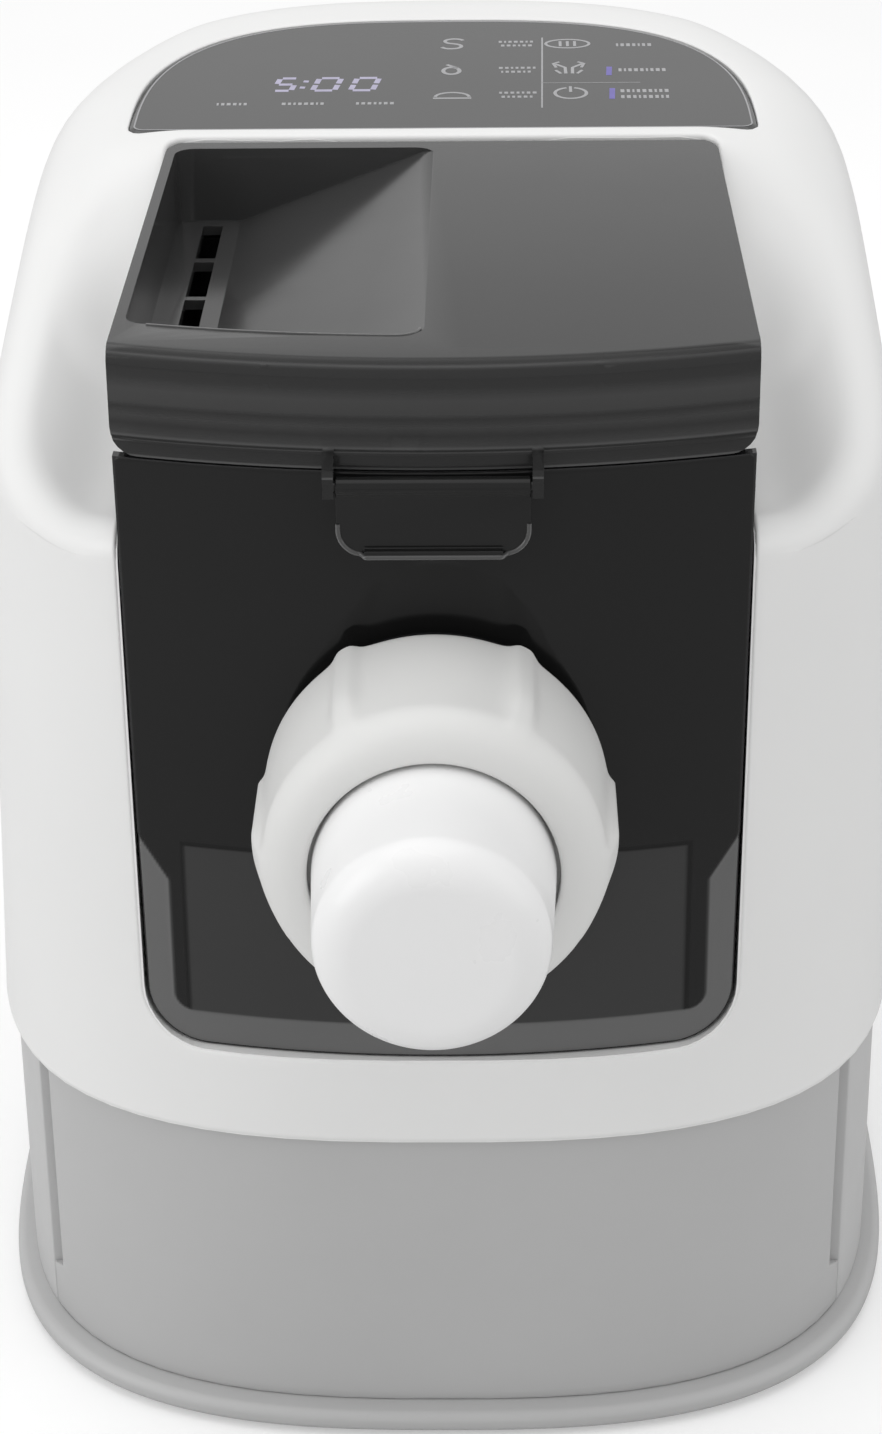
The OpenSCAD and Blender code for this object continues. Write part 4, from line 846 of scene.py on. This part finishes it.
def legend_marks():
    """The printed marks: captions, two dividing lines, six touch symbols, small index marks
    at the middle of the front and back edges, and a fine line along the sloping border."""
    marks = []
    for k, (x0, x1) in enumerate(FOOT_CAPTIONS):
        marks += caption(x0, x1, FOOT_V, 1.3 * k, FOOT_H)
    for k, v in enumerate(MIDDLE_V):
        marks += caption(*MIDDLE_UPPER, v + BAR_H, 0.7 + k)
        marks += caption(*MIDDLE_LOWER, v - BAR_H, 2.1 + k)
    for k, (x1, v) in enumerate(RIGHT_CAPTIONS):
        marks += caption(RIGHT_X, x1, v, 3.0 + 0.8 * k, RIGHT_H)
    marks += [stroke([p, q], width) for p, q, width in RULES]
    marks += symbol_marks()
    marks += [stroke([(-INDEX_HALF, v), (INDEX_HALF, v)], INDEX_W) for v in INDEX_V]
    border = np.stack(panel_curve(BORDER_LINE_IN), -1)
    marks.append(stroke(border, BORDER_LINE_W, True))
    return marks


def light_marks():
    """Two small upright status lights."""
    return [stroke(ends, STATUS_W) for ends in STATUS_LIGHTS]


# ---------- finishes ----------

NOISE_LOW, NOISE_HIGH = 0.3, 0.7  # a noise value lies mostly between these
FINE = 0.0001  # relief of a fine grain, in metres


def fill(tree, node, inputs):
    """Sets a node's inputs: a socket is linked to its input, anything else is its value."""
    for key, value in inputs.items():
        if isinstance(value, bpy.types.NodeSocket):
            tree.links.new(value, node.inputs[key])
        else:
            node.inputs[key].default_value = value
    return node


def add(tree, kind, inputs):
    """A new shader node of a kind, with its inputs set."""
    return fill(tree, tree.nodes.new("ShaderNode" + kind), inputs)


def node_material(name):
    """A new material with its node tree and its surface shader."""
    material = bpy.data.materials.new(name)
    material.use_nodes = True
    tree = material.node_tree
    return material, tree, tree.nodes["Principled BSDF"]


def object_coordinates(tree, scale=(1, 1, 1)):
    """Object coordinates times scale, as a vector socket."""
    place = tree.nodes.new("ShaderNodeTexCoord").outputs["Object"]
    return add(tree, "Mapping", {"Vector": place, "Scale": scale}).outputs["Vector"]


def noise(tree, scale, detail=2.0, rough=0.5, stretch=(1, 1, 1)):
    """The value socket of a noise over the piece's own coordinates."""
    inputs = {"Vector": object_coordinates(tree, stretch), "Scale": scale, "Detail": detail,
              "Roughness": rough}
    return add(tree, "TexNoise", inputs).outputs["Fac"]


def map_range(tree, value, old, new):
    """Maps a value from the range old to the range new."""
    inputs = {"Value": value, "From Min": old[0], "From Max": old[1],
              "To Min": new[0], "To Max": new[1]}
    return add(tree, "MapRange", inputs).outputs["Result"]


def spread(tree, value, middle, share):
    """Maps a noise value to middle, less and more by a share of it."""
    new = (middle * (1 - share), middle * (1 + share))
    return map_range(tree, value, (NOISE_LOW, NOISE_HIGH), new)


def shade_between(tree, value, colour, low, high):
    """The colour times low to high, by a noise value."""
    ramp = add(tree, "ValToRGB", {"Fac": value})
    first, last = ramp.color_ramp.elements
    first.position, last.position = NOISE_LOW, NOISE_HIGH
    first.color = (*(np.array(colour) * low), 1)
    last.color = (*(np.array(colour) * high), 1)
    return ramp.outputs["Color"]


def bumped(tree, height, strength, distance=FINE):
    """A normal with a fine relief."""
    inputs = {"Height": height, "Strength": strength, "Distance": distance}
    return add(tree, "Bump", inputs).outputs["Normal"]


def moulded(name, colour, rough, grain, relief, tone, coat=0.0, specular=0.5):
    """Moulded plastic: nearly even colour, a fine grain, and slightly uneven gloss."""
    material, tree, shader = node_material(name)
    fill(tree, shader, {
        "Base Color": shade_between(tree, noise(tree, 14.0, 3.0), colour, 1 - tone, 1 + tone),
        "Roughness": spread(tree, noise(tree, 60.0, 4.0), rough, 0.12),
        "Normal": bumped(tree, noise(tree, grain, 3.0), relief),
        "Specular IOR Level": specular, "Coat Weight": coat, "Coat Roughness": 0.15,
    })
    return material


def metal(name, colour, rough, along, scale):
    """Turned or drawn metal: streaks along one direction in colour and gloss."""
    material, tree, shader = node_material(name)
    streaks = noise(tree, scale, 4.0, 0.6, along)
    fill(tree, shader, {
        "Base Color": shade_between(tree, streaks, colour, 0.85, 1.0),
        "Roughness": spread(tree, streaks, rough, 0.3),
        "Normal": bumped(tree, streaks, 0.15), "Metallic": 1.0,
    })
    return material


def polish(tree, rough):
    """Gloss and relief of a polished moulding, a little uneven from its flow."""
    return {"Roughness": spread(tree, noise(tree, 40.0, 3.0), rough, 0.2),
            "Normal": bumped(tree, noise(tree, 22.0), 0.03, 4 * FINE)}


def smoked(name, tint, rough, see_through, specular):
    """Dark see-through plastic, polished, with a faint flow texture from moulding."""
    material, tree, shader = node_material(name)
    fill(tree, shader, {
        "Base Color": shade_between(tree, noise(tree, 9.0), tint, 0.94, 1.06),
        "Transmission Weight": see_through, "IOR": 1.46, "Specular IOR Level": specular,
        **polish(tree, rough),
    })
    return material


def lid_with_painted_bands(name, rough, see_through):
    """Smoked plastic whose front skirt gets painted bands of highlight and shade, with fine painted
    bright lines, for the light that its ribs, its step and its lower lip catch. The bands follow the
    height above the skirt's edge."""
    material = smoked(name, (LID_SHADE,) * 3, rough, see_through, 0.25)
    tree = material.node_tree
    shader = tree.nodes["Principled BSDF"]
    top_colour = shader.inputs["Base Color"].links[0].from_socket
    place = add(tree, "SeparateXYZ", {"Vector": object_coordinates(tree)})
    height = map_range(tree, place.outputs["Z"], (SKIRT_LOW / 1000, LID_TOP / 1000), (0, 1))
    ramp = add(tree, "ValToRGB", {"Fac": height})
    for stop, shade in zip(ramp.color_ramp.elements, (SKIRT_EDGE_PAINTED_SHADE, LID_SHADE)):
        stop.color = (shade, shade, shade, 1)
    for up, shade in SKIRT_PAINTED_BANDS:
        stop = ramp.color_ramp.elements.new(up / (LID_TOP - SKIRT_LOW))
        stop.color = (shade, shade, shade, 1)
    rear = SKIRT_REAR + BODY_SHIFT
    front = map_range(tree, place.outputs["Y"], ((rear + 1.0) / 1000, rear / 1000), (0, 1))
    choice = tree.nodes.new("ShaderNodeMix")
    choice.data_type = "RGBA"
    fill(tree, choice, {0: front, 6: top_colour, 7: ramp.outputs["Color"]})
    fill(tree, shader, {"Base Color": choice.outputs[2]})
    return material


def painted_tone_plate(name, rough, specular):
    """Polished dark plastic whose colour at each point comes from the painted tones held in the mesh
    (painted reflection and painted view of the lit inside), made a little uneven by flow marks."""
    material, tree, shader = node_material(name)
    shade = tree.nodes.new("ShaderNodeAttribute")
    shade.attribute_name = "shade"
    flow = spread(tree, noise(tree, 9.0), 1.0, 0.06)
    uneven = add(tree, "Math", {0: shade.outputs["Fac"], 1: flow})
    uneven.operation = "MULTIPLY"
    fill(tree, shader, {"Base Color": uneven.outputs["Value"], "Specular IOR Level": specular,
                        **polish(tree, rough)})
    return material


def lit(name, colour, strength):
    """Lit mark behind the dark lens, a little uneven from end to end."""
    material, tree, shader = node_material(name)
    fill(tree, shader, {
        "Emission Color": shade_between(tree, noise(tree, 260.0), colour, 0.85, 1.0),
        "Emission Strength": strength, "Base Color": (0.03, 0.03, 0.03, 1), "Roughness": 0.4,
    })
    return material


shell_white = moulded("shell_white", (0.80, 0.80, 0.795), 0.34, 700.0, 0.05, 0.012)
base_satin = moulded("base_satin_grey", (0.52,) * 3, 0.42, 1100.0, 0.12, 0.02)
drawer_satin = moulded("drawer_satin_grey", (0.475,) * 3, 0.42, 1100.0, 0.12, 0.02)
ring_satin = moulded("ring_satin_grey", (0.48,) * 3, 0.45, 1100.0, 0.12, 0.02)
panel_gloss = moulded("panel_dark_gloss", (0.07,) * 3, 0.16, 300.0, 0.01, 0.03)
nut_frosted = moulded("nut_frosted", (0.72, 0.72, 0.71), 0.48, 1300.0, 0.14, 0.02)
cap_white = moulded("cap_white", (0.86,) * 3, 0.30, 900.0, 0.02, 0.004)
die_white = moulded("die_white", (0.76, 0.76, 0.75), 0.4, 900.0, 0.08, 0.02)
smoked_lid = lid_with_painted_bands("smoked_lid", 0.16, 0.35)
smoked_latch = smoked("smoked_latch", (0.012,) * 3, 0.08, 0.1, 0.25)
# Lighter than the latch and the lid: a painted highlight along their real rolled and raised lips.
lip_smoked_with_painted_highlight = smoked("smoked_lip", (0.07,) * 3, 0.10, 0.1, 0.5)
smoked_window = smoked("smoked_window", (0.02, 0.02, 0.021), 0.05, 0.3, 0.3)
window_plate = painted_tone_plate("window_plate", 0.05, 0.25)
black_plastic = moulded("black_plastic", (0.035, 0.035, 0.036), 0.45, 900.0, 0.15, 0.1)
rubber = moulded("foot_rubber", (0.03,) * 3, 0.75, 1500.0, 0.3, 0.12, 0.0, 0.3)
seal_rubber = moulded("seal_rubber", (0.06, 0.06, 0.062), 0.6, 1500.0, 0.2, 0.08)
food_plastic = moulded("food_plastic", (0.66, 0.655, 0.63), 0.4, 900.0, 0.1, 0.02)
nylon = moulded("gear_nylon", (0.62, 0.61, 0.54), 0.42, 900.0, 0.12, 0.03)
steel = metal("turned_steel", (0.60, 0.61, 0.62), 0.28, (1, 12, 1), 240.0)
dark_steel = metal("blackened_steel", (0.07,) * 3, 0.4, (12, 1, 1), 240.0)
plated = metal("plated_sheet", (0.46, 0.47, 0.48), 0.38, (1, 1, 10), 180.0)
bronze = metal("sintered_bronze", (0.55, 0.40, 0.20), 0.42, (1, 1, 1), 500.0)
cast_alloy = metal("cast_alloy", (0.44, 0.44, 0.45), 0.5, (1, 1, 1), 260.0)
ferrite = moulded("ferrite", (0.05, 0.05, 0.052), 0.7, 900.0, 0.3, 0.1)
board_green = moulded("board_green", (0.02, 0.13, 0.06), 0.35, 400.0, 0.2, 0.2, 0.3)
legend_print = moulded("legend_print", (0.36, 0.36, 0.37), 0.5, 900.0, 0.02, 0.08)
lit_figures = lit("lit_figures", (0.56, 0.53, 0.72), 0.75)
status_light = lit("status_light", (0.20, 0.16, 0.62), 0.7)

FINISH = (
    (shell_white, "main_shell"), (panel_gloss, "control_panel"), (base_satin, "base_housing"),
    (ring_satin, "base_plate"), (rubber, "rubber_feet"), (drawer_satin, "storage_drawer"),
    (smoked_window, "mixing_chamber"), (smoked_lid, "chamber_lid"), (smoked_latch, "lid_latch"),
    (nut_frosted, "nozzle_nut"), (cap_white, "nozzle_cap"), (die_white, "pasta_die"),
    (food_plastic, "auger"), (seal_rubber, "die_gasket shaft_seal"), (dark_steel, "latch_pin"),
    (bronze, "output_gear"), (nylon, "second_gear first_gear"), (ferrite, "motor_magnets"),
    (cast_alloy, "gearbox_housing gearbox_cover"), (plated, "drive_frame motor_can"),
    (board_green, "main_board control_board"),
    (black_plastic, "motor_end_cap cooling_fan display_module lid_switch power_inlet"),
    (steel, "lid_hinge_pin drive_shaft output_bearings gear_axles motor_rotor motor_pinion"),
    (steel, "touch_springs base_screws gearbox_screws frame_screws board_screws"),
)
for material, nodes in FINISH:
    for node in nodes.split():
        mesh = frame["nodes"][node].data
        mesh.materials.clear()
        mesh.materials.append(material)

# ---------- pieces ----------

put("shell_skin", shell_skin(), "root", shell_white)
put("base_skin", base_skin(), "root", base_satin, 50)
put("drawer_skin", drawer_skin(), "drawer", drawer_satin, 50)
put("foot_ring_skin", ring_skin(), "root", ring_satin, 50)
window_painted_tones(put("window_skin", window_skin(), "chamber", window_plate, 50))
nut = put("nut_form", nut_sheet(), "nut", nut_frosted, 50)
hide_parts("nozzle_nut")
cap = put("cap_form", cap_sheet(), "cap", cap_white, 50)
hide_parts("nozzle_cap")
lens = put("panel_lens", panel_lens(), "root", panel_gloss, 20)
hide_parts("control_panel")
put("panel_legend", legend_marks(), "root", legend_print, 30)
put("display_figures", display_marks(), "root", lit_figures, 30)
put("status_lights", light_marks(), "root", status_light, 30)
softened("mixing_chamber", smoked_window, 0.4)
softened("chamber_lid", smoked_lid, 0.9, segments=3)
put("latch_lip", latch_lip(), "latch", lip_smoked_with_painted_highlight, 60)
put("tray_lip", tray_lip(), "lid", lip_smoked_with_painted_highlight, 60)
softened("lid_latch", smoked_latch, 0.5)

# ---------- floor, light and camera, in metres ----------

FLOOR_SHOWN = 0.33  # the floor's own brightness, for the camera alone
WORLD_SHOWN, WORLD_LIGHT = 1.0, 0.74
LAMPS = (  # name, place, target, size, power
    ("top_light", (-0.2, 0.1, 1.6), (0, 0, 0.1), 1.6, 7.3),
    ("left_light", (-1.5, -0.7, 0.9), (0, 0, 0.15), 1.2, 7.3),
    ("right_light", (1.5, -0.6, 0.9), (0, 0, 0.15), 1.2, 2.6),
)
# The photo's camera: its focal length and the photo's height in pixels, and its directions
FOCAL, PHOTO_H, SENSOR = 3220.4, 1434.0, 36.0
CAMERA_PLACE = (0.0129, -0.7543, 0.516)
RIGHT = Vector((0.99985861, 0.01325384, -0.01034838))
UP = Vector((0.00334691, 0.44624047, 0.89490684))
FORWARD = Vector((-0.01647882, 0.89481494, -0.44613301))


def shown_white(tree, seen, plain):
    """Brightness that is seen for the camera and through clear plastic, and plain for the
    light that falls on things."""
    path = tree.nodes.new("ShaderNodeLightPath")
    sight = {0: path.outputs["Is Camera Ray"], 1: path.outputs["Is Transmission Ray"]}
    first = add(tree, "Math", sight)
    first.operation = "MAXIMUM"
    return map_range(tree, first.outputs["Value"], (0, 1), (plain, seen))


def floor_material():
    """Pale floor that shows near white to the camera and holds the machine's shadow."""
    material, tree, shader = node_material("floor_pale")
    fill(tree, shader, {
        "Base Color": shade_between(tree, noise(tree, 3.0), (1, 1, 1), 0.70, 0.72),
        "Roughness": 0.9, "Specular IOR Level": 0.0, "Emission Color": (1, 1, 1, 1),
        "Emission Strength": shown_white(tree, FLOOR_SHOWN, 0.0),
    })
    return material


def soft_light(name, place, target, size, power):
    """Square soft lamp at place, facing target."""
    data = bpy.data.lights.new(name, "AREA")
    data.shape = "RECTANGLE"
    data.size = data.size_y = size
    data.energy = power
    lamp = bpy.data.objects.new(name, data)
    bpy.context.scene.collection.objects.link(lamp)
    lamp.location = place
    aim = Vector(target) - Vector(place)
    lamp.rotation_euler = aim.to_track_quat("-Z", "Y").to_euler()


bpy.ops.mesh.primitive_plane_add(size=12, location=(0, 0, 0))
floor = bpy.context.object
floor.name = "floor"
floor.data.materials.append(floor_material())

for lamp in LAMPS:
    soft_light(*lamp)

world = bpy.data.worlds.new("studio")
bpy.context.scene.world = world
world.use_nodes = True
fill(world.node_tree, world.node_tree.nodes["Background"], {
    "Color": (1, 1, 1, 1),
    "Strength": shown_white(world.node_tree, WORLD_SHOWN, WORLD_LIGHT),
})

cam_data = bpy.data.cameras.new("photo_camera")
cam_data.sensor_width = SENSOR
cam_data.lens = SENSOR * FOCAL / PHOTO_H
cam_data.clip_start = 0.01
cam = bpy.data.objects.new("photo_camera", cam_data)
bpy.context.scene.collection.objects.link(cam)
turn = Matrix((RIGHT, UP, -FORWARD)).transposed().to_4x4()
cam.matrix_world = Matrix.Translation(CAMERA_PLACE) @ turn
bpy.context.scene.camera = cam
bpy.context.scene.view_settings.view_transform = "Standard"
